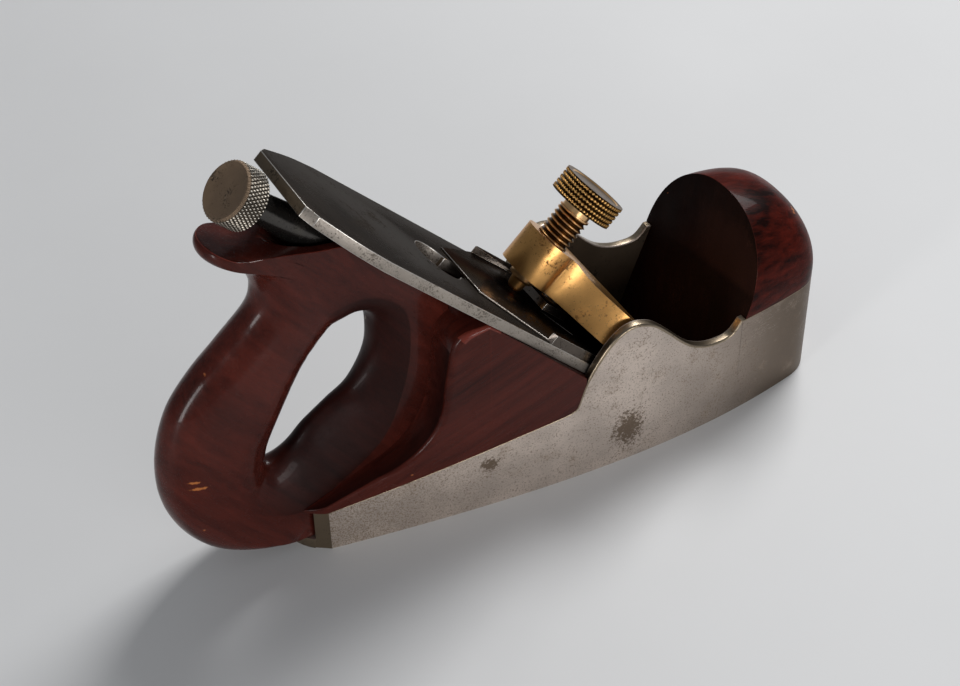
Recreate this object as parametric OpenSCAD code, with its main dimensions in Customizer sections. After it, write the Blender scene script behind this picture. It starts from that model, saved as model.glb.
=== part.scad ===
// Infill smoothing plane: a dovetailed steel body with curved sides, rosewood infills and closed handle,
// a gunmetal lever cap and a screw adjuster behind the cutting iron.
// Origin: on the sole face, on the centre line, level with the heel ends of the two sides.
// +X points to the toe, +Y to the left side, +Z up. Millimetres.

/* [Body] */
// Distance from the heel ends of the sides to the cutting edge
edge_x = 141.5; // [138:0.5:144]
// Angle of the bed above the sole
bed_angle = 47.5; // [46:0.5:49]
// Outer half width of the body at the five plan stations, from heel to toe
half_w = [15.9, 24.45, 31.0, 32.65, 27.1];
// Distance of the five plan stations from the heel
plan_x = [0, 45, 95, 140, 190];
// Thickness of the sole plate
sole_t = 4.5; // [3.5:0.1:5.5]
// Thickness of the side plates
side_t = 3.2; // [2.8:0.1:3.4]
// Radius of the rounded heel of the sole
heel_r = 17.2; // [17:0.1:18]
// Length over which the toe rounds off
toe_round_l = 16; // [14:0.5:18]
// Length from the heel ends of the sides to the tip of the toe
toe_x = 199; // [197:0.5:201]
// Half width of the toe left open between the side plates
toe_gap = 17; // [14:0.5:19]
// Height of the sides at the heel
heel_h = 18; // [17:0.1:19]
// Height of the humps that carry the lever cap
hump_h = 63.8; // [62:0.1:65]
// Height of the sides at the front cusp
cusp_h = 43.9; // [43:0.1:45]
// Height of the sides at the toe
toe_h = 42.6; // [41:0.1:43.5]
// Opening in front of the cutting edge
mouth_gap = 1.1; // [0.6:0.1:2]
// Number of dovetails along each side
tails = 5; // [3:1:7]

/* [Cutting iron] */
// Width of the cutting iron
iron_w = 54; // [52:0.1:54.2]
// Thickness of the cutting iron
iron_t = 3.8; // [3:0.1:4.2]
// Length of the cutting iron
iron_l = 203.8; // [202:0.1:204.5]
// Distance from the edge to where the iron starts to narrow
iron_taper_l = 172.6; // [165:0.1:180]
// Width of the iron's top end
iron_top_w = 31; // [28:0.1:34]
// Grinding angle of the iron
bevel_angle = 28; // [25:0.5:32]
// Width of the slot in the iron
slot_w = 10.6; // [9:0.1:11.2]
// Diameter of the round hole at the slot's top
slot_hole_d = 19; // [17:0.1:20]
// Distance from the edge to the centre of that hole
slot_hole_l = 129; // [127:0.1:131]
// Gap kept between the iron and its bed
bed_gap = 0.1; // [0.05:0.01:0.2]

/* [Cap iron] */
// Thickness of the cap iron
cap_t = 3.6; // [3.2:0.1:4]
// Set back of the cap iron from the cutting edge
cap_set = 1.7; // [1:0.1:2.5]
// Distance from the edge to the cap iron's top end
cap_l = 118; // [115:0.1:119]
// Width of the cap iron's top end
cap_top_w = 25.6; // [23:0.1:28]
// Rise of the cap iron's hump above its flat
cap_hump = 2.05; // [1.8:0.05:2.2]
// Distance from the edge to the cap-iron screw
cap_screw_l = 74; // [72.5:0.1:75.5]

/* [Lever cap] */
// Distance from the edge to the lever cap's pivot, along the iron
pivot_l = 55.6; // [54.5:0.1:56.5]
// Height of the pivot above the iron's top face
pivot_d = 12; // [11.8:0.1:12.6]
// Diameter of the pivot rod
pivot_rod_d = 6; // [5:0.1:7]
// Width of the lever cap
lever_w = 55.6; // [54:0.1:56]
// Radius of the boss round the lever screw
lever_boss_r = 10; // [9.5:0.1:10.5]
// Distance from the edge to the lever screw
lever_screw_l = 91.8; // [91:0.1:92.5]
// Outside diameter of the lever screw's thread
lever_screw_d = 12; // [11:0.1:12.4]
// Diameter of the lever screw's head
lever_head_d = 23.6; // [22:0.1:25]
// Height of the lever screw's head
lever_head_h = 8.2; // [7.5:0.1:9]
// Number of grooves round the head
lever_grooves = 4; // [3:1:5]

/* [Adjuster] */
// Depth of the adjuster's axis below the iron's top face
adjuster_d = 11.6; // [11.6:0.1:12]
// Diameter of the knurled knob
knob_d = 20; // [19:0.1:20.4]
// Length of the knurled knob
knob_l = 9.3; // [8.5:0.1:10]
// Distance from the edge to the knob's end face
knob_end_l = 218.9; // [218:0.1:220]
// Diameter of the barrel at its thick end
barrel_d = 12.8; // [12:0.1:13]
// Diameter of the barrel beside the knob
barrel_neck_d = 9.2; // [8.6:0.1:10]
// Diameter of the spindle
spindle_d = 6; // [5:0.1:6.4]
// Distance from the edge to the swing pivot
stud_l = 150; // [149:0.1:151]
// Outside diameter of the swivel block
block_d = 14; // [13:0.1:14.4]

/* [Handle] */
// Thickness of the handle
handle_t = 22; // [20:0.1:22.4]
// Distance from the heel to the handle's front face in its slot
handle_front_x = 52; // [50:0.5:54]
// Diameter of the wood screws in the sole
sole_screw_d = 4.8; // [4:0.1:5.5]

/* [Hidden] */
$fn = 64;

running = 0.05;
far = 400;
plan_steps = 34;
heel_steps = 10;
toe_power = 3;

rosewood = [0.27, 0.08, 0.06];
steel = [0.60, 0.57, 0.54];
dark_steel = [0.20, 0.18, 0.17];
gunmetal = [0.72, 0.50, 0.20];

// Height of the wooden bed at a distance from the heel, and where it passes a height
bed_face_d = -iron_t - bed_gap;
function bed_height(x) = ((edge_x - x) * sin(bed_angle) + bed_face_d) / cos(bed_angle);
function bed_reach(z) = edge_x + (bed_face_d - z * cos(bed_angle)) / sin(bed_angle);

// Half width of the plan: the smooth curve through the five stations, closed at the toe
function weight(x, i, j = 0) =
    j == len(plan_x) ? 1 : (j == i ? 1 : (x - plan_x[j]) / (plan_x[i] - plan_x[j])) * weight(x, i, j + 1);
function plan_sum(x, i = 0) =
    i == len(plan_x) ? 0 : half_w[i] * weight(x, i) + plan_sum(x, i + 1);
toe_start = toe_x - toe_round_l;
function toe_part(x) = pow(max(0, min(1, (x - toe_start) / (toe_x - toe_start))), toe_power);
function half_width(x) = plan_sum(x) * pow(1 - toe_part(x), 1 / toe_power);

// Stations along the body, closer together round the toe
toe_steps = 14;
stations = concat([for (i = [0 : plan_steps - 1]) toe_start * i / plan_steps],
    [for (i = [0 : toe_steps]) toe_start + (toe_x - toe_start) * sin(90 * i / toe_steps)]);
heel_c = sqrt(heel_r * heel_r - half_w[0] * half_w[0]);
heel_a = asin(half_w[0] / heel_r);

// A smooth curve through key points, with steps points to each stretch
function cubic(a, b, c, d, t) =
    0.5 * (2 * b + (c - a) * t + (2 * a - 5 * b + 4 * c - d) * t * t + (3 * b - a - 3 * c + d) * t * t * t);
function through(p, i, t) = cubic(p[max(i - 1, 0)], p[i], p[i + 1], p[min(i + 2, len(p) - 1)], t);
function smooth(p, steps) = concat(
    [for (i = [0 : len(p) - 2]) for (k = [0 : steps - 1]) through(p, i, k / steps)], [p[len(p) - 1]]);

// Right-hand edge of the plan from the heel to the tip of the toe, moved inwards by an inset
edge_points = [for (x = stations) [x, -half_width(x)]];
function inset_point(i, inset) =
    let (a = edge_points[max(i - 1, 0)], b = edge_points[min(i + 1, len(edge_points) - 1)],
        along = i == len(edge_points) - 1 ? [0, 1] : (b - a) / norm(b - a))
    edge_points[i] + inset * [-along[1], along[0]];
function plan_edge(inset) = [for (i = [0 : len(edge_points) - 1]) inset_point(i, inset)];
function mirrored(p) = [for (i = [len(p) - 1 : -1 : 0]) [p[i][0], -p[i][1]]];

// Plan outline: round at the heel, or run on past it for cutting
module plan(inset = 0, run_on = false) {
    right = plan_edge(inset);
    slope = (right[1] - right[0]) / (right[1][0] - right[0][0]);
    start = run_on ? [right[0] - heel_r * slope] : [];
    heel = [for (i = [1 : heel_steps - 1]) let (a = heel_a * (1 - 2 * i / heel_steps))
        [heel_c - heel_r * cos(a), heel_r * sin(a)]];
    path = concat(start, right);
    polygon(concat(path, mirrored(path), run_on ? [] : heel));
}

// Extrude an x-z outline across the body
module across(w) {
    translate([0, w / 2, 0]) rotate([90, 0, 0]) linear_extrude(w) children();
}

// Place children in the bed frame: local X up the iron from the edge, local Z out of its top face
module on_bed() {
    translate([edge_x, 0, 0]) rotate([0, -bed_angle, 180]) children();
}

// Outline of the sides: heel, cheek edge, hump, cove and front
cheek_slope = 0.172;
cheek_end_x = 70;
cheek_top = [for (x = [-heel_r, cheek_end_x]) [x, heel_h + x * cheek_slope]];
// Rows of the foot of the hump (place, rise over the heel), of the hump (place, drop below its top)
// and of the hollow in front of it (place, drop below the cusp)
foot_rows = [[85, 14.1], [89.3, 15.8], [91.4, 21.5]];
hump_rows = [[93.1, 19.3], [96.8, 12.3], [101.5, 5.6], [106.4, 1.3], [111, 0], [115.4, 1],
    [120, 3.8], [126, 10.1], [131, 16], [136, 20.6]];
hollow_rows = [[142, 3.7], [148, 4.8], [153, 4.1], [157, 0]];
hump_curve = smooth(concat([for (r = foot_rows) [r[0], heel_h + r[1]]],
    [for (r = hump_rows) [r[0], hump_h - r[1]]], [for (r = hollow_rows) [r[0], cusp_h - r[1]]]), 4);
module side_outline() {
    polygon(concat([[-heel_r, 0]], cheek_top, hump_curve, [[toe_x + 1, toe_h], [toe_x + 1, 0]]));
}

// Dovetails of the sole that lock into the sides
tail_w = 15;
tail_flare = 1.2;
module tail_blocks() {
    pitch = (toe_start - 12) / tails;
    for (i = [0 : tails - 1])
        translate([12 + pitch * i, 0, 0])
            across(far)
                polygon([[0, -1], [tail_w, -1], [tail_w - tail_flare, sole_t], [tail_flare, sole_t]]);
}

// Both sides as one ring that follows the plan; the room it takes in the wood runs out past it
module side_ring(outset = 0) {
    intersection() {
        difference() {
            linear_extrude(hump_h + 1) plan(-outset, run_on = outset > 0);
            translate([0, 0, -1]) linear_extrude(hump_h + 3) plan(side_t, run_on = true);
            translate([half_w[0], -toe_gap, -1]) cube([far, 2 * toe_gap, far]);
        }
        across(far) side_outline();
    }
}

module side(sign) {
    color(steel)
        difference() {
            intersection() {
                side_ring();
                translate([-far / 2, sign > 0 ? 0 : -far, -1]) cube([far, far, far]);
            }
            tail_blocks();
            on_bed() translate([pivot_l, 0, pivot_d]) rotate([90, 0, 0])
                cylinder(h = far, d = pivot_rod_d, center = true);
        }
}

module side_right() { side(-1); }

module side_left() { side(1); }

// The mouth: a sloped rear wall under the iron and a front wall that leans forward
throat_lean = 20;
mouth_land = 1.5;
mouth_side_gap = 1.5;
module mouth_cut(w) {
    across(w)
        polygon([[edge_x + mouth_gap, -1], [edge_x + mouth_gap, mouth_land],
            [edge_x + mouth_gap + (sole_t + 1 - mouth_land) * tan(throat_lean), sole_t + 1],
            [bed_reach(sole_t + 1), sole_t + 1], [bed_reach(-1), -1]]);
}

sole_screw_x = [24, 72, 108, 158, 177];
screw_head_d = 10;
screw_head_h = 3.2;
screw_l = 22;

// One countersunk wood screw, head down, flush with the sole face
module wood_screw(d, head_d, head_h, l) {
    rotate_extrude()
        polygon([[0, 0], [head_d / 2, 0], [d / 2, head_h], [d / 2, l - d], [0, l]]);
}

module sole_plate() {
    color(steel)
        difference() {
            intersection() {
                linear_extrude(sole_t) plan();
                union() {
                    translate([0, 0, -1]) linear_extrude(sole_t + 2) plan(side_t, run_on = true);
                    tail_blocks();
                    translate([half_w[0], -toe_gap, -1]) cube([far, 2 * toe_gap, sole_t + 2]);
                }
            }
            mouth_cut(iron_w + 2 * mouth_side_gap);
            for (x = sole_screw_x)
                translate([x, 0, 0]) wood_screw(sole_screw_d, screw_head_d, screw_head_h, screw_l);
        }
}

module sole_screw(i) {
    color(dark_steel)
        translate([sole_screw_x[i], 0, 0])
            wood_screw(sole_screw_d, screw_head_d, screw_head_h, screw_l);
}

module sole_screw_1() { sole_screw(0); }

module sole_screw_2() { sole_screw(1); }

module sole_screw_3() { sole_screw(2); }

module sole_screw_4() { sole_screw(3); }

module sole_screw_5() { sole_screw(4); }

module sole_screw_holes() {
    for (x = sole_screw_x)
        translate([x, 0, 0]) wood_screw(sole_screw_d, screw_head_d, screw_head_h, screw_l);
}

// Front infill: a block between the sides whose domed top falls away towards the toe
dome_z = cusp_h + 1.6;
dome_h = 30.7;
dome_fall_x = 164;
dome_fall_power = 2.5;
dome_power = 2.2;
dome_steps = 22;
front_face_x = edge_x + mouth_gap;
function dome_height(x) =
    let (u = max(0, (x - dome_fall_x) / (toe_x - dome_fall_x)))
    dome_h * pow(1 - pow(u, dome_fall_power), 1 / dome_fall_power);
function power_arc(a, n) = [sign(cos(a)) * pow(abs(cos(a)), 2 / n), pow(abs(sin(a)), 2 / n)];
function dome_ring(x) =
    let (w = half_width(x), h = dome_height(x))
    concat([[x, w, 0]], [for (i = [0 : dome_steps]) let (q = power_arc(180 * i / dome_steps, dome_power))
        [x, w * q[0], dome_z + h * q[1]]], [[x, -w, 0]]);

// Skin through a row of closed sections of equal length, with flat ends
module skin(rings, closed = false) {
    n = len(rings);
    m = len(rings[0]);
    polyhedron([for (r = rings) each r],
        concat([for (i = [0 : n - (closed ? 1 : 2)]) for (j = [0 : m - 1])
            let (a = i * m + j, b = i * m + (j + 1) % m, c = ((i + 1) % n) * m + (j + 1) % m,
                d = ((i + 1) % n) * m + j)
            each [[a, b, c], [a, c, d]]],
            closed ? [] : [[for (j = [m - 1 : -1 : 0]) j], [for (j = [0 : m - 1]) (n - 1) * m + j]]));
}

module front_infill() {
    toe_end = toe_x - 0.02;
    front_stations = [for (x = stations) if (x > edge_x && x < toe_end) x];
    color(rosewood)
        difference() {
            skin([for (x = concat([edge_x - 5], front_stations, [toe_end])) dome_ring(x)]);
            across(far)
                polygon([[edge_x - 20, -1], [front_face_x, -1], [front_face_x, 0],
                    [front_face_x + far / 2 * tan(throat_lean), far / 2], [edge_x - 20, far / 2]]);
            side_ring(outset = 1);
            translate([0, -far / 2, -1]) cube([far, far, sole_t + 1]);
            sole_screw_holes();
        }
}

// Side view of the rear infill: bed, cheek corner and the sweep down to the heel
cheek_corner_x = 58;
sweep_c = [12, 58];
sweep_r = 30.5;
module rear_outline() {
    corner = smooth([[44.5, 71], [45.4, 76.5], [47.2, 80.6], [51, 83.4],
        [cheek_corner_x, bed_height(cheek_corner_x) - 0.6]], 3);
    sweep = [for (a = [-78 : 11.5 : 2.5]) sweep_c + sweep_r * [cos(a), sin(a)]];
    polygon(concat([[-heel_r, 0], [-heel_r, heel_h - 2.8], [0.5, heel_h + 3.4]], sweep, corner,
        [[cheek_corner_x + 1, bed_height(cheek_corner_x + 1)], [bed_reach(sole_t), sole_t],
            [bed_reach(sole_t), 0]]));
}

// Hollows under the iron for the cup ring, the spindle, the swivel block and the barrel
ring_r = 9.6;
ring_clear = 1.6;
ring_travel = 4;
ring_floor_d = -16.6;
channel_w = 9.6;
channel_l = 95;
hollow_h = 40;
plate_top_d = -18.4;
plate_t = 2.4;
plate_l = 32;
plate_w = 14;
pocket_w = 17;
barrel_clear = 1.8;
barrel_end_l = stud_l + block_d / 2 + 1;
module adjuster_hollow() {
    on_bed() {
        for (dx = [-ring_travel, ring_travel])
            translate([cap_screw_l + dx, 0, ring_floor_d]) cylinder(h = hollow_h, r = ring_r + ring_clear);
        translate([cap_screw_l - ring_travel, -ring_r - ring_clear, ring_floor_d])
            cube([2 * ring_travel, 2 * (ring_r + ring_clear), hollow_h]);
        translate([cap_screw_l, -channel_w / 2, ring_floor_d])
            cube([stud_l - cap_screw_l, channel_w, hollow_h]);
        translate([stud_l - plate_l / 2, -pocket_w / 2, plate_top_d - plate_t])
            cube([plate_l, pocket_w, hollow_h]);
        translate([stud_l, 0, -adjuster_d]) rotate([0, 90, 0])
            cylinder(h = channel_l, r = barrel_d / 2 + barrel_clear);
        translate([stud_l, -barrel_d / 2 - barrel_clear, -adjuster_d])
            cube([channel_l, barrel_d + 2 * barrel_clear, hollow_h]);
    }
}

heel_void_x = 7;
module rear_infill() {
    color(rosewood)
        difference() {
            intersection() {
                linear_extrude(far / 2) plan();
                across(far) rear_outline();
            }
            side_ring(outset = 1);
            translate([-heel_r, -far / 2, -1]) cube([far, far, sole_t + 1]);
            translate([-far + heel_void_x, -far / 2, -1]) cube([far, far, heel_h + 1]);
            translate([-far, -handle_t / 2, -1]) cube([far + handle_front_x, handle_t, far / 2]);
            adjuster_hollow();
            sole_screw_holes();
            plate_screw_pair();
        }
}

// Handle: sections from the outer outline to the hand hole, each rounded at both ends.
// A row gives the outer point, a point of the flat side, the point of the hole, and the widths
// over which the section rounds off at the outside and at the hole. The rows of the horn also
// give a point halfway out, with the half widths of the section at its end and at that point.
top_x = 23;
half_t = handle_t / 2;
handle_rows = [
    [[handle_front_x, sole_t], [36, 24], [10, 53], 0.6, 22],
    [[handle_front_x, 34], [42, 44], [18.5, 57.5], 0.6, 15],
    [[handle_front_x, 66], [44, 67], [25.5, 69], 0.6, 11],
    [[handle_front_x, bed_height(handle_front_x)], [44, 88], [26.8, 83], 0.6, 10.5],
    [[36, bed_height(36)], [32, 104], [24.5, 89.5], 0.8, 10.5],
    [[top_x, bed_height(top_x)], [19, 114], [20.5, 91.3], 0.8, 9],
    [[7, 128.2], [4, 122], [16.5, 90.8], 1, 8],
    [[-6, 131.2], [-2, 127], [14, 90], 1.2, 7.6],
    [[-14.5, 132], [-5, 128.8], [12.8, 89.4], 1.5, 7.6, [-11, 130.3], half_t, half_t],
    [[-19.5, 134.6], [-5.6, 128.5], [11.8, 88.7], 1.6, 7.6, [-16.5, 131.2], half_t - 2.2, half_t - 1.2],
    [[-22.8, 138.9], [-5.9, 128.3], [11.2, 88.2], 1.6, 7.6, [-20.2, 132.4], half_t - 5, half_t - 3.2],
    [[-24, 141.8], [-6, 128.1], [10.6, 87.8], 1.6, 7.6, [-21, 132.6], half_t - 7.2, half_t - 3.8],
    [[-25.2, 140.2], [-6, 127.9], [10.2, 87.3], 1.8, 7.6, [-21.3, 132.4], half_t - 7.2, half_t - 3.9],
    [[-25.2, 136], [-6, 127.7], [9.6, 86.8], 2.4, 7.6, [-21, 131.8], half_t - 5.4, half_t - 3.5],
    [[-23, 130.6], [-5.8, 127.3], [9, 86.2], 3.4, 7.8, [-18.5, 129.6], half_t - 3, half_t - 2],
    [[-18, 125.9], [-5, 126.4], [8.4, 85.5], 5.6, 8, [-11.5, 126.6], half_t - 0.6, half_t],
    [[-13, 120.4], [-1.2, 121.8], [7.4, 84.6], 9, 8],
    [[-10.6, 113], [2, 114], [5.5, 82.4], 9.5, 8.2],
    [[-14.5, 105], [-2.5, 100], [1.8, 78], 9.8, 8.6],
    [[-25, 95], [-13.5, 88.5], [-2.6, 70], 9.8, 9],
    [[-35.5, 86], [-22, 78.5], [-7, 61.5], 11, 10.5],
    [[-44.5, 75], [-28.5, 68.5], [-10.4, 54.5], 12, 13],
    [[-50, 60.5], [-33.5, 57.5], [-12.8, 48.5], 12.4, 15],
    [[-51.8, 46], [-35, 46], [-14.2, 43.8], 12.6, 14.8],
    [[-50.4, 33.5], [-34.5, 37], [-15, 40.6], 12.4, 14],
    [[-46.2, 22], [-32.5, 28.5], [-15, 38.2], 11.6, 14],
    [[-39.5, 12.5], [-26.5, 21.5], [-13.4, 37.4], 10.4, 15],
    [[-31, 7], [-19, 16.5], [-10.8, 37.8], 8, 17.4],
    [[-21, sole_t], [-11.5, 13.5], [-7.6, 39.6], 4.6, 21],
    [[-10, sole_t], [-2.5, 14], [-4, 42.2], 0.6, 23.5],
    [[14, sole_t], [10, 16], [1.5, 47.5], 0.6, 23.5]];

function unit(v) = v / norm(v);
function full_row(r) = len(r) > 5 ? r
    : concat(r, [r[0] + unit(r[1] - r[0]) * (r[3] + norm(r[1] - r[0])) / 2, half_t, half_t]);
rows = [for (r = handle_rows) full_row(r)];
rows_n = len(rows);
row_steps = 3;
arc_steps = 4;
function row(i) = rows[(i + rows_n) % rows_n];
function between(k, i, t) = cubic(row(i - 1)[k], row(i)[k], row(i + 1)[k], row(i + 2)[k], t);
// The stretches that meet straight faces stay straight
straight_rows = [0, 1, 2, 3, 4, 29, 30];
function outer_at(i, t) = len(search(i, straight_rows)) > 0
    ? row(i)[0] * (1 - t) + row(i + 1)[0] * t : between(0, i, t);
// Half of a rounded end: from the flat side to the middle plane
function end_arc(flat_point, tip, half) = [for (k = [0 : arc_steps]) let (a = 90 * k / arc_steps)
    [flat_point[0] + (tip[0] - flat_point[0]) * sin(a), half * cos(a),
        flat_point[1] + (tip[1] - flat_point[1]) * sin(a)]];
function across_plane(p) = [for (i = [len(p) - 2 : -1 : 0]) [p[i][0], -p[i][1], p[i][2]]];
function ring(i, t) =
    let (o = outer_at(i, t), m = between(1, i, t), h = between(2, i, t), knee = between(5, i, t),
        outer = end_arc(o + unit(knee - o) * between(3, i, t), o, between(6, i, t)),
        hole = end_arc(h + unit(m - h) * between(4, i, t), h, half_t), knee_half = between(7, i, t))
    concat(outer, across_plane(outer), [[knee[0], -knee_half, knee[1]], [m[0], -half_t, m[1]]],
        [for (q = hole) [q[0], -q[1], q[2]]], [for (i = [len(hole) - 2 : -1 : 0]) hole[i]],
        [[m[0], half_t, m[1]], [knee[0], knee_half, knee[1]]]);

module handle() {
    color(rosewood)
        difference() {
            skin([for (i = [0 : rows_n - 1]) for (k = [0 : row_steps - 1]) ring(i, k / row_steps)],
                closed = true);
            adjuster_hollow();
            translate([sole_screw_x[0], 0, 0])
                wood_screw(sole_screw_d, screw_head_d, screw_head_h, screw_l);
            plate_screw_pair();
        }
}

// Base plate of the adjuster, let into the wood under the iron
plate_screw_d = 3;
plate_screw_head_d = 6;
plate_screw_head_h = 1.7;
plate_screw_len = 11;
plate_screw_out = 11.5;
stud_d = 5;
stud_top_d = -adjuster_d - spindle_d / 2 - 0.3;
module plate_screw_at(sign) {
    on_bed() translate([stud_l + sign * plate_screw_out, 0, plate_top_d]) rotate([180, 0, 0])
        wood_screw(plate_screw_d, plate_screw_head_d, plate_screw_head_h, plate_screw_len);
}

module plate_screw_pair() {
    for (sign = [-1, 1])
        plate_screw_at(sign);
}

module adjuster_plate() {
    color(steel)
        difference() {
            on_bed() translate([stud_l - plate_l / 2, -plate_w / 2, plate_top_d - plate_t])
                cube([plate_l, plate_w, plate_t]);
            plate_screw_pair();
            on_bed() translate([stud_l, 0, plate_top_d - plate_t - 1]) cylinder(h = plate_t + 2, d = stud_d);
        }
}

module plate_screw_upper() {
    color(dark_steel) plate_screw_at(1);
}

module plate_screw_lower() {
    color(dark_steel) plate_screw_at(-1);
}

module pivot_stud() {
    color(steel)
        on_bed() translate([stud_l, 0, plate_top_d - plate_t])
            cylinder(h = stud_top_d - plate_top_d + plate_t, d = stud_d);
}

// Swivel block: turns on the stud, guides the spindle and carries the barrel on its nose
block_top_d = -iron_t - 1;
nose_d = 8.4;
nose_l = 16;
module swivel_block() {
    color(steel)
        difference() {
            union() {
                on_bed() translate([stud_l, 0, plate_top_d + 0.2])
                    cylinder(h = block_top_d - plate_top_d - 0.2, d = block_d);
                on_bed() translate([stud_l, 0, -adjuster_d]) rotate([0, 90, 0])
                    cylinder(h = nose_l, d = nose_d);
            }
            on_bed() translate([stud_l - far / 2, 0, -adjuster_d]) rotate([0, 90, 0])
                cylinder(h = far, d = spindle_d + 2 * running);
            on_bed() translate([stud_l, 0, plate_top_d - 1])
                cylinder(h = stud_top_d - plate_top_d + 1.1, d = stud_d + 2 * running);
        }
}

// Tapered barrel, bored for the nose and the spindle
barrel_taper_l = 186;
spindle_end_l = 186;
knob_start_l = knob_end_l - knob_l;
module adjuster_barrel() {
    color(dark_steel)
        on_bed() translate([0, 0, -adjuster_d]) rotate([0, 90, 0])
            difference() {
                rotate_extrude()
                    polygon([[0, barrel_end_l], [barrel_d / 2 - 0.6, barrel_end_l],
                        [barrel_d / 2, barrel_end_l + 0.8], [barrel_d / 2, barrel_taper_l - 8],
                        [barrel_d / 2 - 0.35, barrel_taper_l], [barrel_neck_d / 2, knob_start_l],
                        [0, knob_start_l]]);
                cylinder(h = stud_l + nose_l + 1, d = nose_d + 2 * running);
                cylinder(h = spindle_end_l + 6, d = spindle_d + 2 * running);
            }
}

// Knurled knob with a dished end face
knob_chamfer = 0.8;
knob_dish = 0.6;
module adjuster_knob() {
    r = knob_d / 2;
    color(steel)
        on_bed() translate([0, 0, -adjuster_d]) rotate([0, 90, 0])
            rotate_extrude()
                polygon([[0, knob_start_l], [r - knob_chamfer, knob_start_l],
                    [r, knob_start_l + knob_chamfer], [r, knob_end_l - knob_chamfer],
                    [r - knob_chamfer, knob_end_l], [r - 2.2, knob_end_l - knob_dish],
                    [0, knob_end_l - knob_dish / 2]]);
}

// Spindle between the barrel and the cup ring
ring_bore_d = 14.6;
ring_top_d = -iron_t - 0.8;
module spindle() {
    color(steel)
        on_bed() translate([cap_screw_l + ring_r - 1, 0, -adjuster_d]) rotate([0, 90, 0])
            difference() {
                cylinder(h = spindle_end_l - cap_screw_l - ring_r + 1, d = spindle_d);
                translate([0, 0, 1 - ring_r]) rotate([0, 90, 0])
                    cylinder(h = far, r = ring_r, center = true);
            }
}

module cup_ring() {
    color(steel)
        on_bed() translate([cap_screw_l, 0, ring_floor_d + 1])
            difference() {
                cylinder(h = ring_top_d - ring_floor_d - 1, r = ring_r);
                translate([0, 0, 2]) cylinder(h = 40, d = ring_bore_d);
            }
}

// Cutting iron: parallel, narrowed to the top, keyhole slot, one bevel
slot_low_l = 48;
iron_rest = 0.2;
module cutting_iron() {
    half = iron_w / 2;
    top_half = iron_top_w / 2;
    flank = smooth([[iron_taper_l, half], [iron_taper_l + 13, half - 2.4],
        [iron_l - 3.6, top_half + 3.6]], 4);
    bevel_l = iron_t / tan(bevel_angle);
    color(dark_steel)
        on_bed() translate([iron_rest, 0, 0])
            difference() {
                translate([0, 0, -iron_t]) linear_extrude(iron_t)
                    polygon(concat([[0, -half], [0, half]], flank,
                        [[iron_l, top_half], [iron_l, -top_half]], mirrored(flank)));
                translate([slot_low_l, 0, -far / 2]) cylinder(h = far, d = slot_w);
                translate([slot_low_l, -slot_w / 2, -far / 2])
                    cube([slot_hole_l - slot_low_l, slot_w, far]);
                translate([slot_hole_l, 0, -far / 2]) cylinder(h = far, d = slot_hole_d);
                rotate([90, 0, 0]) linear_extrude(far, center = true)
                    polygon([[0, 0], [bevel_l, -iron_t], [bevel_l, -iron_t - 5], [-5, -iron_t - 5], [-5, 0]]);
            }
}

// Cap iron: flat plate with a bent hump near the edge and a boss for its screw
cap_boss_l = 13;
cap_boss_w = 14;
cap_boss_d = 6.4;
cap_edge_t = 0.9;
cap_slope_l = 23;
cap_flank_l = 27;
cap_flank_w = 17.6;
cap_screw_d = 7;
hump_l = 20;
cap_full_w = iron_w - 0.4;
cap_flank_in = [[cap_l + 2, cap_top_w / 2 + 10], [cap_l - 40, 40], [cap_l - cap_flank_l, cap_full_w / 2 - 1],
    [cap_l - 47, 17], [cap_l - 24, 4], [cap_l + 2, 4]];
module flank_cut() {
    low = [cap_l, cap_top_w / 2];
    out = [cap_l - cap_flank_l, cap_full_w / 2 - 1];
    intersection() {
        linear_extrude(far) polygon(cap_flank_in);
        translate([low[0], low[1], cap_edge_t])
            rotate([0, 0, atan2(out[1] - low[1], out[0] - low[0])])
                rotate([atan((cap_t - cap_edge_t) / cap_flank_w), 0, 0])
                    translate([-far / 2, -far / 2, 0]) cube([far, far, far]);
    }
}

module cap_iron() {
    top_half = cap_top_w / 2;
    half = cap_full_w / 2;
    hump_top = cap_t + cap_hump;
    flank_l = cap_l - cap_flank_l;
    upper = smooth([[cap_set, 0.25], [cap_set + 6.5, 2.9], [hump_l - 5, hump_top - 0.5],
        [hump_l - 0.5, hump_top]], 4);
    after = smooth([[hump_l + 3, hump_top], [hump_l + 7, hump_top - 0.6], [hump_l + 14, cap_t],
        [hump_l + 22, cap_t]], 4);
    under = smooth([[hump_l + 14, 0], [hump_l, 1.5], [cap_set + 4, 0.7], [cap_set, 0]], 4);
    color(dark_steel)
        on_bed() translate([iron_rest, 0, 0])
            difference() {
                intersection() {
                    union() {
                        difference() {
                            rotate([90, 0, 0]) linear_extrude(far, center = true)
                                polygon(concat(upper, after,
                                    [[cap_l - cap_slope_l, cap_t], [cap_l, cap_edge_t], [cap_l, 0]],
                                    under));
                            flank_cut();
                            mirror([0, 1, 0]) flank_cut();
                        }
                        translate([cap_screw_l - cap_boss_l / 2, -cap_boss_w / 2, 1])
                            cube([cap_boss_l, cap_boss_w, cap_boss_d - 1]);
                    }
                    linear_extrude(far, center = true)
                        polygon([[0, -half], [flank_l - 2, -half], [flank_l, -half + 1], [cap_l, -top_half],
                            [cap_l, top_half], [flank_l, half - 1], [flank_l - 2, half], [0, half]]);
                }
                translate([cap_screw_l - iron_rest, 0, -1]) cylinder(h = far, d = cap_screw_d);
            }
}

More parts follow.
